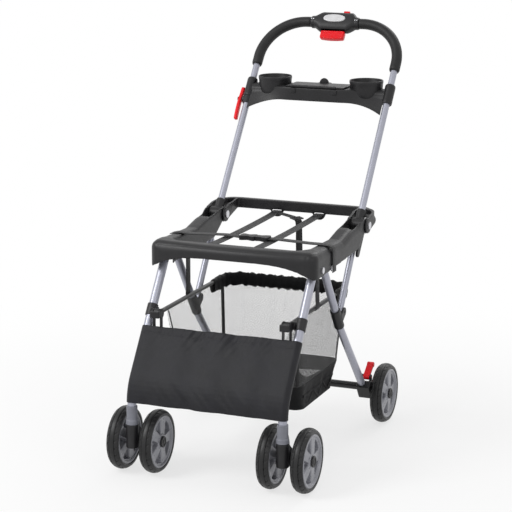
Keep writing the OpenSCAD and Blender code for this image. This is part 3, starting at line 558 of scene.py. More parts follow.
for side, node in ((-1, "grip_left"), (1, "grip_right")):
    path = gripPath(side)
    run = np.cumsum([0.0] + [(b - a).length for a, b in zip(path, path[1:])])

    def gripOutline(k):
        toEnd = min(run[k], run[-1] - run[k]) / (grip["endRound"] * mm)
        pull = 1 - 0.12 * (1 - smoothStep(0, 1, toEnd))
        squeeze = 1 + 0.012 * ripple(run[k] * 60, side)
        return circleOutline(grip["radius"] * mm * pull * squeeze, 40)

    sleeve = sweep("foamGrip" + ("Left" if side < 0 else "Right"), path, gripOutline, handleFront)
    dressed(sleeve, "foam", "handle", node)
print("grips swept")


# parent tray: a beam from tube to tube whose front leans back towards the tubes, an open bin in its middle,
# and two deep cups that stand out of its front
tray = {"at": (701.4, 838.4), "front": 649.4, "top": 838.0, "floor": 812.5, "under": 809.4,
        "back": 735.4, "wall": 3.2, "bin": 81, "end": 181, "lean": (60, 172), "low": 805, "flat": 85,
        "fall": 25, "cup": 125, "cupY": 704.4, "collar": (341, 395), "clip": 56}


def tubeY(z):                           # the handle tube's middle at a height
    return tray["at"][0] + (z - tray["at"][1]) / math.tan(handleLean)


def traySection(x):
    w = smoothStep(*tray["lean"], abs(x))
    top, round1 = tray["top"], 3.4 + 13 * w
    low = tray["low"] - tray["fall"] * (max(abs(x) - tray["flat"], 0) / (tray["end"] - tray["flat"])) ** 1.9
    back = tray["back"] + (tubeY(top) + 11 - tray["back"]) * smoothStep(88, tray["lean"][1], abs(x))
    inBin = abs(x) < tray["bin"]
    floor = tray["floor"] if inBin else top - 0.05
    under = tray["under"] if inBin else top - 17

    def face(z):
        return (1 - w) * tray["front"] + w * (tubeY(z) - 12)

    line = [(face(low) + 1.2, low - 0.4), (face(low) + 0.2, low + 0.6)]
    line += [(face(z), z) for z in np.linspace(low + 1.5, top - round1, 7)]
    line += [(face(top - round1) + round1 * (1 - math.cos(a)), top - round1 + round1 * math.sin(a))
             for a in np.linspace(0, math.pi / 2, 8)[1:]]
    inner = line[-1][0] + 0.6
    line += [(inner, top - 0.02), (inner, (top + floor) / 2), (inner, floor)]
    line += [(y, floor) for y in np.linspace(inner, back - tray["wall"], 5)[1:]]
    line += [(back - tray["wall"], top - 0.02), (back - 0.8, top), (back, top - 0.8)]
    line += [(back, under + 1), (back - 1, under)]
    line += [(y, under) for y in np.linspace(back - 1, face(under) + tray["wall"], 4)[1:]]
    line += [(face(z) + tray["wall"], z) for z in np.linspace(under, low + 0.6, 5)[1:]]
    return [behindAxle(x, y, z) for y, z in line]


def turned(name, profile, centre):      # profile in (radius, z) mm, turned about an upright axis
    return loft(name, [
        [centre + Vector((a, b, z * mm)) for a, b in circleOutline(r * mm, 72)]
        for r, z in profile
    ])


# a clip on the tray's front and the bar in it: height, outline and steps of (y, size)
clips = {
    "clip": (830.5, (7.5, 6.8, 7, 40), ((652, 1), (648.2, 1), (647.6, 0.95), (647.4, 0.86))),
    "clipBar": (827.2, (5.2, 1.4, 4, 24), ((648, 1), (647.1, 1), (646.8, 0.9))),
}


def knob(name, x, z, outline, steps):
    return loft(name, [[behindAxle(x + a * size, y, z + b * size) for a, b in ovalOutline(*outline)]
                       for y, size in steps])


cupProfile = [(0.4, 811.4), (33, 811.4), (36.5, 812.6), (39, 816), (40.8, 824), (42.2, 838),
              (42.7, 850), (43.4, 852.5), (43.6, 857), (43.1, 858.8), (42, 859.4), (40.9, 858.9),
              (40.3, 857.4), (40.2, 818), (38.5, 815.4), (36, 814.6), (0.4, 814.4)]
binEdges = [side * (tray["bin"] + d) for side in (-1, 1) for d in (-0.2, 0.2)]
sections = sorted({*np.linspace(-tray["end"], tray["end"], 145), *binEdges})
trayParts = [loft("trayBeam", [traySection(x) for x in sections])]
for side in (-1, 1):
    trayParts.append(turned("cup", cupProfile, behindAxle(side * tray["cup"], tray["cupY"], 0)))
    start, stop = tray["collar"]
    line = [start, start + 1, start + 3, *np.linspace(start + 6, stop - 6, 12), stop - 2.5, stop - 1, stop]
    girths = [12.2, 12.9, 13.4] + [13.5] * 12 + [13.3, 12.9, 12.2]
    collarPath = [onHandle(side * grip["lane"], s, 0) for s in line]
    trayParts.append(sweep("collar", collarPath, lambda k: circleOutline(girths[k] * mm, 48), handleFront))
    trayParts += [knob(name, side * tray["clip"], *shape) for name, shape in clips.items()]
trayBody = joined("tray", trayParts)
dressed(trayBody, "black_plastic", "handle", "tray_body")
trayBody.data.set_sharp_from_angle(angle=math.radians(38))

tab = {"half": (12.5, 13.5), "middle": 841, "foot": (11, 838.6),
       "steps": ((731.6, 0.9), (732, 1), (735, 1), (735.4, 0.9))}
tabRings = []
for y, size in tab["steps"]:
    arch = [(tab["half"][0] * size * math.cos(a), tab["middle"] + tab["half"][1] * size * math.sin(a))
            for a in np.linspace(0, math.pi, 25)]
    feet = [(side * tab["foot"][0], tab["foot"][1]) for side in (-1, 1)]
    tabRings.append([behindAxle(x, y, z) for x, z in arch + feet])
lidTab = dressed(loft("lidTab", tabRings), "black_plastic", "lid", slot="black_plastic")
lidTab.data.set_sharp_from_angle(angle=math.radians(40))


# red fold latch on the left tube: a slim lever with rounded ends
latch = {"x": 208.2, "bow": 1.6, "s": (272, 368), "pivot": 333, "thick": 4.6, "wide": (7.6, 5.2)}
latchLow, latchHigh = latch["s"]


def latchOutline(k):
    s = latchLine[k]
    toEnd = min(s - latchLow, latchHigh - s) / 5
    shrink = math.sqrt(max(1 - (1 - min(toEnd, 1)) ** 2, 0.02))
    wide, narrow = latch["wide"]
    wide += (narrow - wide) * smoothStep(latch["pivot"] - 6, latch["pivot"] + 16, s)
    return ovalOutline(latch["thick"] * (0.4 + 0.6 * shrink) * mm, wide * shrink * mm, 3.2, 36)


latchLine = [latchLow + (latchHigh - latchLow) * k / 64 for k in range(65)]
latchPath = []
for s in latchLine:
    bow = latch["bow"] * math.sin(math.pi * (s - latchLow) / (latchHigh - latchLow))
    latchPath.append(onHandle(-latch["x"] - bow, s, 0))
lever = sweep("foldLatch", latchPath, latchOutline, handleFront)
dressed(lever, "red_plastic", "latch", "fold_latch")
print("tray and latch lofted")


# release console: a soft oval body that narrows into a collar at each side
console = {"s": 575, "half": 66, "high": 28, "thick": 17, "collar": 15.6, "power": 2.7,
           "upper": ((33, 62), (45, 61)), "lower": ((34, 58), (34, 58)), "band": (57, 64),
           "room": (65.5, 520, 43, 21)}


def consoleRing(x):
    side = 1 if x > 0 else 0
    upper = 1 - smoothStep(*console["upper"][side], abs(x))
    lower = 1 - smoothStep(*console["lower"][side], abs(x))
    rise = console["high"] - console["collar"]
    thick = console["collar"] + (console["thick"] - console["collar"]) * max(upper, lower)
    end = 1 - 0.1 * smoothStep(console["half"] - 2, console["half"], abs(x))
    if console["band"][0] < abs(x) < console["band"][1]:
        end += 0.035                    # a raised band round each collar
    power = 2 + (console["power"] - 2) * max(upper, lower)
    found = []
    for a, b in ovalOutline(1, thick * end, power, 64):
        high = console["collar"] + rise * (upper if a > 0 else lower)
        found.append(onHandle(x, console["s"] + a * high * end, b))
    return found


consoleBody = loft("console", [consoleRing(x) for x in np.linspace(-console["half"], console["half"], 133)])
room = bpy.data.objects.new("triggerRoom", bpy.data.meshes.new("triggerRoom"))
scene.collection.objects.link(room)
work = bmesh.new()
bmesh.ops.create_cube(work, size=1)
wide, low, tall, deep = console["room"]
for v in work.verts:
    v.co = onHandle(v.co.x * wide, low + (v.co.y + 0.5) * tall, v.co.z * deep)
work.to_mesh(room.data)
work.free()
rightWayOut(room)
cut = consoleBody.modifiers.new("room", "BOOLEAN")
cut.object = room
cut.operation = "DIFFERENCE"
settled(consoleBody)
bpy.data.objects.remove(room)
consoleBody.data.set_sharp_from_angle(angle=math.radians(40))
dressed(consoleBody, "black_plastic", "handle", "console_front", "console_back")

badge = {"s": 579, "half": (30, 11), "face": 16.4, "rise": 3.0}
badgeRings = []
for k in range(10):
    t = k / 9
    inward = math.sqrt(max(1 - t * t, 0.0)) * 0.18 + 0.82 if t < 1 else 0.80
    out = badge["face"] + badge["rise"] * math.sin(t * math.pi / 2)
    badgeRings.append([onHandle(a * inward, badge["s"] + b * inward, out)
                       for a, b in ovalOutline(*badge["half"], 2.3, 48)])
badgePlate = loft("badgePlate", badgeRings)
dressed(badgePlate, "pearl_plastic", "handle", "badge_plate")


# two small screw heads on the front of each collar
screws = {"at": (57.4, 62.6), "s": 576, "size": 1.7, "face": (15.4, 16.7, 17.1)}
screwRings = []
for x in (side * a for side in (-1, 1) for a in screws["at"]):
    screwRings.append(loft("screw", [
        [onHandle(x + a * size, screws["s"] + b * size, n) for a, b in circleOutline(screws["size"], 20)]
        for n, size in zip(screws["face"], (1, 1, 0.7))
    ]))
dressed(joined("collarScrews", screwRings), "steel", "handle", slot="steel")


# red pull under the console, with two rows of ridges on its face
trigger = {"half": 32, "top": 547.5, "bottom": 523, "thick": 8.5, "bow": 2.5, "ridge": 1.3, "pitch": 3.6}


def triggerRing(x):
    low = trigger["bottom"] + trigger["bow"] * (x / trigger["half"]) ** 2
    middle, half = (trigger["top"] + low) / 2, (trigger["top"] - low) / 2
    end = 1 - 0.16 * smoothStep(trigger["half"] - 3, trigger["half"], abs(x))
    found = []
    for a, b in ovalOutline(half * (1 if end == 1 else (1 + end) / 2), trigger["thick"] * end, 5, 72):
        row = max(math.exp(-((a - h) / 4.2) ** 6) for h in (-6.5, 4.5))
        if b > 0 and abs(x) < trigger["half"] - 4:
            b -= trigger["ridge"] * row * (0.5 + 0.5 * math.cos(2 * math.pi * x / trigger["pitch"]))
        found.append(onHandle(x, middle + a, b))
    return found


pull = loft("releaseTrigger", [triggerRing(x) for x in np.linspace(-trigger["half"], trigger["half"], 121)])
dressed(pull, "red_plastic", "trigger", "release_trigger")
print("console, badge and trigger lofted")


# wheels: a tyre with two grooves and curved sipes, a rim with five broad spokes,
# and a dished cap at each axle's end
wheel = {"rim": 63, "sipes": 26, "sipeDeep": 1.6, "grooveDeep": 2.2, "around": 312}
wheelJoints = {n: jointAt[j["name"]] for j in frame["joints"] for n in nodes
               if "tyre" in n and bodyOf[n] == j["child"] and j["name"].endswith("spin")}


def tyrePoint(centre, across, turn, radius):
    return centre + Vector((across * mm, radius * mm * math.cos(turn), radius * mm * math.sin(turn)))


def closedSkin(name, points, rows, count):          # rings of points, the last joined to the first
    last = (rows - 1) * count
    faces = gridFaces(rows, count, around=True)
    faces += [(last + k, last + (k + 1) % count, (k + 1) % count, k) for k in range(count)]
    obj = meshObject(name, points, faces)
    rightWayOut(obj)
    return obj


def buildTyre(name, centre):
    low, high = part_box(name)
    half = (high.x - low.x) / 2 / mm
    radius = (high.z - low.z) / 2 / mm
    profile = [(wheel["rim"], -half * 0.93), (wheel["rim"] + 3, -half), (wheel["rim"] + 7, -half)]
    for k in range(41):
        across = half * (k / 20 - 1) * 0.985
        drop = (1 - math.sqrt(max(1 - (across / half * 0.93) ** 2, 0.0))) * 11
        groove = max(math.exp(-((across - g) / 1.1) ** 4) for g in (-half * 0.4, half * 0.4))
        profile.append((radius - drop - wheel["grooveDeep"] * groove, across))
    profile += [(wheel["rim"] + 7, half), (wheel["rim"] + 3, half), (wheel["rim"], half * 0.93)]
    points = []
    for r, across in profile:
        for k in range(wheel["around"]):
            turn = 2 * math.pi * k / wheel["around"]
            deep = 0.0
            if r > wheel["rim"] + 9:
                curl = 0.5 * (across / half) ** 2 * np.sign(across)
                phase = (turn * wheel["sipes"] / (2 * math.pi) + curl) % 1.0
                outward = abs(across) / half
                edge = smoothStep(0.30, 0.5, outward) * (1 - smoothStep(0.86, 0.95, outward))
                deep = wheel["sipeDeep"] * edge * (1 if abs(phase - 0.5) < 0.1 else 0)
            points.append(tyrePoint(centre, across, turn, r - deep))
    skinName = name.replace("_tyre", "Tyre").replace("_", ".")
    dressed(closedSkin(skinName, points, len(profile), wheel["around"]), "tyre", bodyOf[name], name)


spokes = {"count": 5, "half": 10.6, "flare": 0.11, "from": 20, "to": 52.5, "web": 1.2, "edge": 1.0,
          "around": 300, "bolt": 17.6, "boltSize": 1.9, "boltDeep": 2.2}
rimRadii = [6.4, 10, 14, 15, 15.8, 16.6, 17.4, 18.2, 19, 19.6, 20.2, 20.8, 21.4, 22, 22.8, 24, 26, 28.5,
            31, 34, 37, 40, 43, 46, 48, 49.4, 50.4, 51.2, 51.8, 52.4, 53, 53.8, 55, 55.8, 56.4, 57,
            57.6, 58.4, 60, 61, 61.8, 62.5, 63]
rimStand = [(0, 14.2), (17.5, 14.2), (20, 12.6), (24, 12.4), (46, 10.2), (52, 10.6), (55.6, 11.0),
            (57.6, 14.2), (61, 14.8), (63, 13.4)]


def rimFace(r, turn):                   # how far the rim's face stands out from its middle
    step = 2 * math.pi / spokes["count"]
    off = (turn + step / 2) % step - step / 2
    lateral = r * abs(math.sin(off)) - spokes["half"] - spokes["flare"] * (r - spokes["from"])
    pocket = smoothStep(-spokes["edge"], spokes["edge"], lateral)
    inner, outer = spokes["from"], spokes["to"]
    pocket *= smoothStep(inner - 0.4, inner + 2, r) * (1 - smoothStep(outer - 1.8, outer + 0.4, r))
    away = math.hypot(r * math.cos(off) - spokes["bolt"], r * math.sin(off))
    face = np.interp(r, *zip(*rimStand)) - spokes["boltDeep"] * math.exp(-(away / spokes["boltSize"]) ** 4)
    return face * (1 - pocket) + spokes["web"] * pocket


rimSteps = [2 * math.pi * k / spokes["around"] for k in range(spokes["around"])]
rimSkin = [(side * rimFace(r, turn), r, turn) for side, radii in ((1, rimRadii[::-1]), (-1, rimRadii))
           for r in radii for turn in rimSteps]


def buildRim(name, centre):
    points = [tyrePoint(centre, across, turn, r) for across, r, turn in rimSkin]
    skinName = name.replace("_rim", "Rim").replace("_", ".")
    skin = closedSkin(skinName, points, 2 * len(rimRadii), spokes["around"])
    dressed(skin, "rim_plastic", bodyOf[name], name)


for name in sorted(wheelJoints):
    buildTyre(name, wheelJoints[name])
    buildRim(name.replace("tyre", "rim"), wheelJoints[name])

axle = {"rod": 4, "thick": 3, "stub": 46,
        "dish": ((13.5, -1.4), (12.4, 0), (9.6, 0), (8.6, -1.3), (5.6, -1.3), (4.8, -0.5), (0.4, -0.3))}
wheelZ = jointAt["rear_wheel_left_spin"].z


def capProfile(x, out):                 # a dished cap whose face is at x, in mm
    steps = [(axle["rod"], -axle["thick"]), (13.5, -axle["thick"]), *axle["dish"]]
    return [(r * mm, (x + out * d) * mm) for r, d in steps]


def turnedAxle(name, node, profile, y):
    obj = lathe(name, profile, Vector((0, y, wheelZ)), 48)
    dressed(obj, "steel", bodyOf[node], node)
    obj.data.materials.append(finishOf["black_plastic"])
    for face in obj.data.polygons:
        away = math.hypot(face.center.y - y, face.center.z - wheelZ)
        toEnd = min(abs(face.center.x - x) for r, x in (profile[0], profile[-1]))
        face.material_index = int(away > (axle["rod"] + 0.05) * mm or toEnd < (axle["thick"] + 0.2) * mm)
    obj.data.set_sharp_from_angle(angle=math.radians(45))


for side, word in ((-1, "left"), (1, "right")):
    low, high = (v.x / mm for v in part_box("front_axle_" + word))
    bothCaps = capProfile(low, -1)[::-1] + capProfile(high, 1)
    turnedAxle("frontAxle." + word, "front_axle_" + word, bothCaps, frontAxleY)
    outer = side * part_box("rear_axles")[1].x / mm
    stub = [(axle["rod"] * mm, (outer - side * axle["stub"]) * mm)] + capProfile(outer, side)
    turnedAxle("rearAxle." + word, "rear_axles", stub, jointAt["rear_wheel_left_spin"].y)
print("wheels turned,", len(wheelJoints))


# nylon panel round the front legs
panel = {"top": 346, "bottom": 182, "tube": 10.5, "stand": 2.0, "dip": 3.0, "folds": 4, "wrap": 150,
         "across": 220, "down": 90, "hem": 14, "crease": 1.7}
legTree = BVHTree.FromObject(nodes["front_leg_right"], bpy.context.evaluated_depsgraph_get())


def legLine(z):                         # the leg's middle and the way its front faces, at a height
    hit, normal = legTree.ray_cast(Vector((lane, -2, z)), Vector((0, 1, 0)))[:2]
    facing = Vector((0, normal.y, normal.z)).normalized()
    return hit - facing * panel["tube"] * mm, facing


def panelPoint(u, v):                   # u from -1 to 1 across, v from 0 at the bottom to 1 at the top
    middle, facing = legLine((panel["bottom"] + (panel["top"] - panel["bottom"]) * v) * mm)
    r = (panel["tube"] + panel["stand"]) * mm
    wrapShare = 0.12
    x = u / (1 - wrapShare)
    if abs(x) <= 1:
        fold = panel["dip"] * (1 - math.cos(panel["folds"] * math.pi * (1 + x))) / 2
        slack = 1 - x * x
        crease = panel["crease"] * ripple(9 * x + 7 * v, 1.3) * (0.35 + abs(2 * v - 1)) * slack
        crease += 1.3 * ripple(26 * x - 15 * v, 0.4) * smoothStep(0.6, 0.95, v) * slack
        crease += 1.2 * ripple(19 * x + 17 * v, 2.4) * (1 - smoothStep(0.1, 0.45, v)) * slack
        crease += 1.0 * ripple(60 * x - 34 * v, 1.1) * smoothStep(0.8, 0.97, v) * slack
        below = (1 - v) * (panel["top"] - panel["bottom"])
        hemline = 1.1 * smoothStep(0.0, 1.0, 1 - abs(below - panel["hem"]) / 2.2)
        out = r - (fold + hemline) * mm + crease * mm
        return middle + facing * out + Vector((x * lane - middle.x, 0, 0))
    past = (abs(x) - 1) / (1 / (1 - wrapShare) - 1) * math.radians(panel["wrap"])
    side = math.copysign(1, x)
    return Vector((side * (lane + r * math.sin(past)), middle.y, middle.z)) + facing * r * math.cos(past)


def clothGrid(name, pointAt, columns, rows, size):
    points = [pointAt(2 * c / columns - 1, r / rows) for r in range(rows + 1) for c in range(columns + 1)]
    uvs = [(size[0] * c / columns, size[1] * r / rows) for r in range(rows + 1) for c in range(columns + 1)]
    return meshObject(name, points, gridFaces(rows + 1, columns + 1), uvs)


panelSize = (2 * lane + 2 * 0.013 * math.radians(panel["wrap"]), 0.195)
legPanel = clothGrid("legPanel", panelPoint, panel["across"], panel["down"], panelSize)
thick = legPanel.modifiers.new("cloth", "SOLIDIFY")
thick.thickness = 0.0008
thick.offset = -1
settled(legPanel)
dressed(legPanel, "nylon", bodyOf["front_panel"], "front_panel")
print("panel sewn")


# basket: net walls, a cloth band and floor below, and a gathered sleeve on the bar
barLow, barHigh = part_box("basket_bar")
baseLow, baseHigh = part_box("basket_base")
meshLow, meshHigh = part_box("basket_mesh")
basket = {"cell": 4.0, "share": 0.22, "corner": (40, 30), "sag": 5, "ripple": 2.2, "crumple": 0.06,
          "frontDip": 40}


# a point at a share t of the way round a rounded rectangle, from the middle of its back
def roundedRect(low, high, corner, t):
    w, d = high[0] - low[0], high[1] - low[1]
    legs = [w / 2 - corner, math.pi / 2 * corner, d - 2 * corner, math.pi / 2 * corner, w - 2 * corner,
            math.pi / 2 * corner, d - 2 * corner, math.pi / 2 * corner, w / 2 - corner]
    go = (t % 1.0) * sum(legs)
    cx, cy = (low[0] + high[0]) / 2, (low[1] + high[1]) / 2
    corners = [(high[0] - corner, high[1] - corner, 90), (high[0] - corner, low[1] + corner, 0),
               (low[0] + corner, low[1] + corner, -90), (low[0] + corner, high[1] - corner, -180)]
    starts = [(cx, high[1], 1, 0), (high[0], high[1] - corner, 0, -1), (high[0] - corner, low[1], -1, 0),
              (low[0], low[1] + corner, 0, 1), (low[0] + corner, high[1], 1, 0)]
    for k, length in enumerate(legs):
        if go <= length or k == 8:
            if k % 2 == 0:
                x, y, dx, dy = starts[k // 2]
                return x + dx * go, y + dy * go
            x, y, start = corners[k // 2]
            a = math.radians(start - math.degrees(go / corner))
            return x + corner * math.cos(a), y + corner * math.sin(a)
        go -= length
    return cx, cy


def wallPoint(t, v):                    # t round the basket, v from 0 at the band to 1 at the bar
    top = ((meshLow.x, meshLow.y), (meshHigh.x, meshHigh.y))
    low = ((baseLow.x, baseLow.y), (baseHigh.x, baseHigh.y))
    x1, y1 = roundedRect(*low, basket["corner"][1] * mm, t)
    x2, y2 = roundedRect(*top, basket["corner"][0] * mm, t)
    x, y = x1 + (x2 - x1) * v, y1 + (y2 - y1) * v
    frontDip = basket["frontDip"] * mm * (1 - smoothStep(meshLow.y + 0.002, meshLow.y + 0.022, y2))
    z = baseHigh.z + (meshHigh.z - frontDip - baseHigh.z) * v
    middle = Vector(((meshLow.x + meshHigh.x) / 2, (meshLow.y + meshHigh.y) / 2, z))
    inward = (middle - Vector((x, y, z))).normalized()
    slack = math.sin(math.pi * v)
    draw = basket["sag"] * slack * (0.6 + 0.4 * math.cos(8 * math.pi * t))
    draw += basket["ripple"] * slack * (ripple(70 * t, 0.7) * v + 0.3)
    return Vector((x, y, z)) + inward * draw * mm


def holed(points, uvs, faces, corner, share):       # a four-sided cell as a frame of strands round a hole
    centre = sum((points[k] for k in corner), Vector()) / 4
    first = len(points)
    for k in corner:
        points.append(points[k] + (centre - points[k]) * share)
        uvs.append(uvs[k])
    for k in range(4):
        faces.append((corner[k], corner[(k + 1) % 4], first + (k + 1) % 4, first + k))


def netGrid(name, pointAt, columns, rows, share, size):     # diamonds, each row set off by half a cell
    points = [pointAt((c + 0.5 * (r % 2)) / columns, r / rows)
              for r in range(rows + 1) for c in range(columns)]
    uvs = [(size[0] * c / columns, size[1] * r / rows) for r in range(rows + 1) for c in range(columns)]
    faces = []
    for r in range(rows - 1):
        for c in range(columns):
            odd = r % 2
            corner = [r * columns + c, (r + 1) * columns + (c + odd) % columns,
                      (r + 2) * columns + c, (r + 1) * columns + (c - 1 + odd) % columns]
            holed(points, uvs, faces, corner, share)
    return meshObject(name, points, faces, uvs)


# a tape laid on the outside of a basket wall, along a line of (t, v)
def ribbonOn(name, pointAt, line, width, thick, stand):
    path = []
    for (t1, v1), (t2, v2) in zip(line, line[1:]):
        for k in range(12):
            t, v = t1 + (t2 - t1) * k / 12, v1 + (v2 - v1) * k / 12
            path.append(pointAt(t, v))
    path.append(pointAt(*line[-1]))
    middle = Vector(((baseLow.x + baseHigh.x) / 2, (baseLow.y + baseHigh.y) / 2, 0))
    out = sum((p - middle for p in path), Vector()) / len(path)
    out.z = 0
    out.normalize()
    outline = strapOutline(width * mm, thick * mm)
    return sweep(name, [p + out * stand * mm for p in path], lambda k: outline, out)


def cornerShare(k):                     # where the middle of a corner falls on the way round
    w, d, c = baseHigh.x - baseLow.x, baseHigh.y - baseLow.y, basket["corner"][1] * mm
    arc = math.pi / 2 * c
    whole = 2 * (w + d - 4 * c) + 4 * arc
    return (w / 2 - c + arc / 2 + sum((d - 2 * c, w - 2 * c)[n % 2] + arc for n in range(k))) / whole


barZ = (barLow.z + barHigh.z) / 2


def crumpled(obj):                      # cloth given its own copy of its mesh
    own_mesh(obj)


netRound = 2 * (meshHigh.x - meshLow.x + meshHigh.y - meshLow.y) - 0.03
netTall = meshHigh.z - baseHigh.z
netColumns, netRows = int(netRound / (basket["cell"] * mm)), int(2 * netTall / (basket["cell"] * mm))
net = netGrid("basketNet", wallPoint, netColumns, netRows, basket["share"], (netRound, netTall))
dressed(net, "mesh", "basket", "basket_mesh")
tapeLines = [[(cornerShare(k), v) for v in (0, 0.33, 0.66, 0.98)] for k in range(4)]
cornerTapes = joined("cornerTapes", [ribbonOn("cornerTape", wallPoint, line, 9, 1.4, 0.6)
                                     for line in tapeLines])
dressed(cornerTapes, "webbing", "basket", slot="nylon")
crumpled(net)
crumpled(cornerTapes)


# v from 0 in the floor's middle, over the floor's edge, up to 1 at the net
def basePoint(t, v):
    front, rear = band["tuck"]
    floorAt = ((baseLow.x + 0.009, baseLow.y + front * mm), (baseHigh.x - 0.009, baseHigh.y - rear * mm))
    topAt = ((baseLow.x, baseLow.y), (baseHigh.x, baseHigh.y))
    rise = band["floor"]                # the share of v that is floor
    middle = Vector(((floorAt[0][0] + floorAt[1][0]) / 2, (floorAt[0][1] + floorAt[1][1]) / 2, baseLow.z))
    if v <= rise:
        x, y = roundedRect(*floorAt, 0.024, t)
        k = v / rise
        edge = Vector((x, y, baseLow.z + 0.001))
        lift = 0.004 * (1 - smoothStep(0.75, 1.0, k)) * ripple(9 * k * math.cos(2 * math.pi * t), 0.4)
        return middle + (edge - middle) * (0.002 + 0.998 * k) + Vector((0, 0, abs(lift)))
    k = (v - rise) / (1 - rise)
    x1, y1 = roundedRect(*floorAt, 0.024, t)
    x2, y2 = roundedRect(*topAt, 0.030, t)
    z = baseLow.z + 0.001 + (baseHigh.z - baseLow.z - 0.001) * k
    point = Vector((x1 + (x2 - x1) * k, y1 + (y2 - y1) * k, z))
    inward = (Vector((middle.x, middle.y, z)) - point).normalized()
    return point + inward * (0.002 * math.sin(math.pi * k) * (1 + ripple(60 * t, 1.9)))


band = {"columns": 480, "rows": 48, "floor": 0.5, "windows": 3, "foot": 0.10, "top": 0.52, "tape": 6.5,
        "openShare": 0.55, "tuck": (32, 26)}


# where a flat wall starts and ends on the way round, between two corners
def wallShares(k):
    w, d, c = baseHigh.x - baseLow.x, baseHigh.y - baseLow.y, basket["corner"][1] * mm
    half = math.pi / 4 * c / (2 * (w + d - 4 * c) + 2 * math.pi * c)
    start, end = cornerShare(k), cornerShare(k + 1) if k < 3 else 1 + cornerShare(0)
    return start + half, end - half


def inWindow(t, v):                     # triangles that stand on their points, in a row along each wall
    k = (v - band["floor"]) / (1 - band["floor"])
    if not band["foot"] < k < band["top"]:
        return False
    for start, end in map(wallShares, range(4)):
        q = ((t - start) % 1.0) / (end - start)
        if q <= 1:
            wide = 0.95 * (k - band["foot"]) / (band["top"] - band["foot"])
            return abs(2 * (q * band["windows"] % 1) - 1) < wide
    return False


baseColumns, baseRows = band["columns"], band["rows"]
baseShares = [(c / baseColumns, r / baseRows) for r in range(baseRows + 1) for c in range(baseColumns)]
basePoints = [basePoint(t, v) for t, v in baseShares]
baseUvs = [(netRound * t, 0.24 * v) for t, v in baseShares]
baseFaces = []
for r in range(baseRows):
    for c in range(baseColumns):
        cell = [r * baseColumns + c, r * baseColumns + (c + 1) % baseColumns,
                (r + 1) * baseColumns + (c + 1) % baseColumns, (r + 1) * baseColumns + c]
        if inWindow((c + 0.5) / baseColumns, (r + 0.5) / baseRows):
            holed(basePoints, baseUvs, baseFaces, cell, band["openShare"])
        else:
            baseFaces.append(tuple(cell))
base = meshObject("basketBase", basePoints, baseFaces, baseUvs)
dressed(base, "lining", "basket", "basket_base")
bandLines = []
for start, end in map(wallShares, range(4)):
    steps = 2 * band["windows"]
    heights = [band["floor"] + (1 - band["floor"]) * band[("top", "foot")[n % 2]] for n in range(steps + 1)]
    corners = [(start + (end - start) * n / steps, heights[n]) for n in range(steps + 1)]
    bandLines += [list(pair) for pair in zip(corners, corners[1:])]
    bandLines.append([(start + (end - start) * n / steps, heights[0]) for n in range(steps + 1)])
bandTapes = joined("bandTapes", [ribbonOn("bandTape", basePoint, line, band["tape"], 1.2, 0.5)
                                 for line in bandLines])
dressed(bandTapes, "lining", "basket", slot="nylon")
crumpled(base)
crumpled(bandTapes)


hem = {"thick": 7, "tall": 17, "drop": 9, "reach": 60, "bend": 45, "gather": 3.6, "pitch": 14,
       "ragged": 3.4, "pucker": 2.4, "step": 3.0}
backY = barHigh.y - 0.0055


def hemPath():
    bend, reach = hem["bend"] * mm, hem["reach"] * mm
    x, y = lane - 0.026, backY
    line = [Vector((x, y - bend - reach + reach * k / 14, barZ)) for k in range(14)]
    line += [Vector((x - bend + bend * math.cos(a), y - bend + bend * math.sin(a), barZ))
             for a in np.linspace(0, math.pi / 2, 18)]
    straight = int(2 * (x - bend) / (hem["step"] * mm))
    line += [Vector((x - bend - 2 * (x - bend) * k / straight, y, barZ)) for k in range(1, straight)]
    return line + [Vector((-p.x, p.y, p.z)) for p in reversed(line[:32])]


hemLine = hemPath()


def hemOutline(k):
    ease = smoothStep(0, 8, min(k, len(hemLine) - 1 - k))
    turn = k * hem["step"] * 2 * math.pi / hem["pitch"]
    found = []
    for a, b in ovalOutline(hem["thick"], hem["tall"], 2.2, 28):
        fold = hem["gather"] * ripple(turn, 0.6 + b * 0.03) * ease
        hang = hem["ragged"] * ripple(turn / 1.6, 2.2) * ease * max(-b / hem["tall"], 0.0)
        hang += hem["pucker"] * ripple(turn / 1.9, 4.1) * ease * max(b / hem["tall"], 0.0)
        found.append(((a + math.copysign(fold, a)) * mm, (b + hang - hem["drop"]) * mm))
    return found


sleeve = sweep("basketHem", hemLine, hemOutline, Vector((0, 0, 1)), capped=False)
dressed(sleeve, "lining", "basket", "basket_hem")
print("basket hung, net cells", netColumns * netRows)


# webbing: each strap is a line of points in mm, y from the front axles
straps = {
    "width": 25, "thick": 1.6,
    "long": [(57, 552, 534), (57, 538, 533), (57, 480, 531), (57, 330, 530), (57, 180, 532),
             (57, 140, 533), (57, 131, 529), (57, 129, 518)],
    "waistLeft": [(-24, 222, 535), (-57, 222, 537), (-90, 222, 536), (-150, 222, 533), (-172, 222, 534),
                  (-190, 222, 533.5), (-205, 222, 530)],
    "waistRight": [(44, 222, 535), (57, 222, 537), (90, 222, 536), (150, 222, 534), (172, 222, 534),
                   (190, 222, 534), (208, 222, 532), (213.5, 222, 524), (214, 222, 500),
                   (214, 222, 470)],
    "loose": [(-50, 534, 532), (-20, 512, 533), (8, 492, 533), (22, 482, 532)],
    "tail": [(22, 482, 530), (27, 478, 527), (29, 476, 518), (29, 477, 490), (30, 476, 447)],
    "hang": [(167.6, 234, 484), (167.6, 234, 440), (167.8, 234, 400), (169, 234, 380), (167, 234, 370)],
}


def strap(name, line, width, across, body):
    path = curveThrough([behindAxle(*p) for p in line])
    obj = sweep(name, path, lambda k: strapOutline(width * mm, straps["thick"] * mm), across)
    dressed(obj, "webbing", body)
    return obj


def mirrored(line):
    return [(-x, y, z) for x, y, z in line]


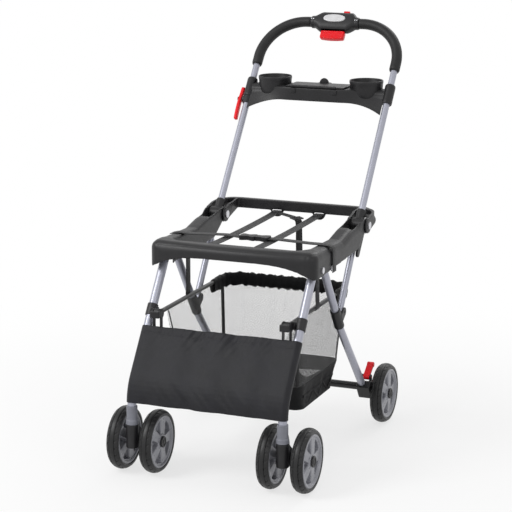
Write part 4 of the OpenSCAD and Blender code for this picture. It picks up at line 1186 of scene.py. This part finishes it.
made = [
    strap("strapLeft", mirrored(straps["long"]), straps["width"], Vector((0, 0.3, 1)), "seat_frame"),
    strap("strapRight", straps["long"], straps["width"], Vector((0, 0.3, 1)), "seat_frame"),
    strap("waistLeft", straps["waistLeft"], straps["width"], Vector((0.3, 0, 1)), "seat_frame"),
    strap("waistRight", straps["waistRight"], straps["width"], Vector((1, 0, 0.6)), "seat_frame"),
    strap("looseStrap", straps["loose"], 20, Vector((0, 0, 1)), "seat_frame"),
]
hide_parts("harness_straps")
tail = strap("adjusterTail", straps["tail"], 20, Vector((0.6, -0.4, 1)), "seat_frame")
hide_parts("strap_adjuster")

# the slide that the loose strap doubles back through: two rails with three bars between them
slide = {"at": (20, 483.5, 533), "along": (0.81, -0.58, -0.05), "half": (9, 13), "bar": (2.1, 1.7)}
slideAt, slideAlong = behindAxle(*slide["at"]), Vector(slide["along"]).normalized()
slideAcross = slideAlong.cross(Vector((0, 0, 1))).normalized()


def slideBar(start, stop):              # a bar between two places on the slide, (along, across) in mm
    ends = [slideAt + slideAlong * a * mm + slideAcross * b * mm for a, b in (start, stop)]
    line = [ends[0].lerp(ends[1], t) for t in (0, 0.02, 0.06, 0.5, 0.94, 0.98, 1)]
    sizes = (0.5, 0.8, 1, 1, 1, 0.8, 0.5)
    oval = ovalOutline(*slide["bar"], 3, 20)
    return sweep("slideBar", line, lambda k: [(a * sizes[k] * mm, b * sizes[k] * mm) for a, b in oval],
                 Vector((0, 0, 1)))


halfLong, halfWide = slide["half"]
slideBars = [slideBar((a, -halfWide), (a, halfWide)) for a in (-halfLong, 0, halfLong)]
slideBars += [slideBar((-halfLong - 1.5, b), (halfLong + 1.5, b)) for b in (-halfWide, halfWide)]
dressed(joined("adjusterSlide", slideBars), "black_plastic", "seat_frame", "strap_adjuster")
hangers = [strap("basketStrap" + side, line, straps["width"], Vector((1, 0, 0)), "basket")
           for side, line in (("Right", straps["hang"]), ("Left", mirrored(straps["hang"])))]
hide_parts("basket_straps")
print("straps laid")


# floor, light and camera
stage = {"floor": 14, "key": (-2.6, -3.0, 3.6), "fill": (3.4, -2.2, 2.2), "back": (0.5, 3.6, 3.4),
         "world": 0.62, "fade": (0.45, 1.5), "lift": 0.7}
corners = [Vector((x * stage["floor"], y * stage["floor"], -0.0005))
           for x, y in ((-1, -1), (1, -1), (1, 1), (-1, 1))]
floor = meshObject("floor", corners, [(0, 1, 2, 3)])
paper, tree, shader = startFinish("paper")
shader.inputs["Base Color"].default_value = (0.86, 0.86, 0.86, 1)
shader.inputs["Roughness"].default_value = 0.9
shader.inputs["Specular IOR Level"].default_value = 0.0
path = tree.nodes.new("ShaderNodeLightPath")
seen = joinedBy(tree, "MAXIMUM", path.outputs["Is Camera Ray"], path.outputs["Is Glossy Ray"])
away = tree.nodes.new("ShaderNodeVectorMath")       # the paper fades to plain white away from the object
away.operation = "LENGTH"
tree.links.new(tree.nodes.new("ShaderNodeTexCoord").outputs["Object"], away.inputs[0])
fade = addNode(tree, "ShaderNodeMapRange", From_Min=stage["fade"][0], From_Max=stage["fade"][1],
               To_Min=stage["lift"], To_Max=1.0)
fade.interpolation_type = "SMOOTHSTEP"
tree.links.new(away.outputs["Value"], fade.inputs["Value"])
white = joinedBy(tree, "MULTIPLY", seen, fade.outputs["Result"])
plain = addNode(tree, "ShaderNodeEmission", Color=(1, 1, 1, 1), Strength=1.0)
blend = tree.nodes.new("ShaderNodeMixShader")
tree.links.new(white, blend.inputs[0])
tree.links.new(shader.outputs["BSDF"], blend.inputs[1])
tree.links.new(plain.outputs["Emission"], blend.inputs[2])
tree.links.new(blend.outputs["Shader"], tree.nodes["Material Output"].inputs["Surface"])
floor.data.materials.append(paper)

world = bpy.data.worlds.new("studio")
scene.world = world
world.use_nodes = True
sky = world.node_tree
back = sky.nodes["Background"]
back.inputs["Color"].default_value = (1, 1, 1, 1)
path = sky.nodes.new("ShaderNodeLightPath")
seen = joinedBy(sky, "MAXIMUM", path.outputs["Is Camera Ray"], path.outputs["Is Glossy Ray"])
seen = joinedBy(sky, "MAXIMUM", seen, path.outputs["Is Transmission Ray"])
level = spread(sky, seen, stage["world"], 1.0)
sky.links.new(level, back.inputs["Strength"])


def aimed(name, data, at, target):      # a lamp or camera at a place, turned to another
    obj = bpy.data.objects.new(name, data)
    obj.location = at
    obj.rotation_euler = (Vector(target) - Vector(at)).to_track_quat("-Z", "Y").to_euler()
    scene.collection.objects.link(obj)
    return obj


def softBox(name, at, target, size, power):
    lamp = bpy.data.lights.new(name, "AREA")
    lamp.shape = "DISK"
    lamp.size = size
    lamp.energy = power
    aimed(name, lamp, at, target)


softBox("keyLight", stage["key"], (0, 0, 0.5), 2.2, 115)
softBox("fillLight", stage["fill"], (0, 0, 0.5), 2.6, 14)
softBox("backLight", stage["back"], (0, 0, 0.6), 2.0, 45)

camera = {"at": (1.650, -4.2068, 1.495), "looksAt": (0.1052, -0.3858, 0.5462), "lens": 131.7}
eye = bpy.data.cameras.new("camera")
eye.lens = camera["lens"]
eye.sensor_width = 36
scene.camera = aimed("camera", eye, camera["at"], camera["looksAt"])
scene.view_settings.view_transform = "Standard"
print("stage set")
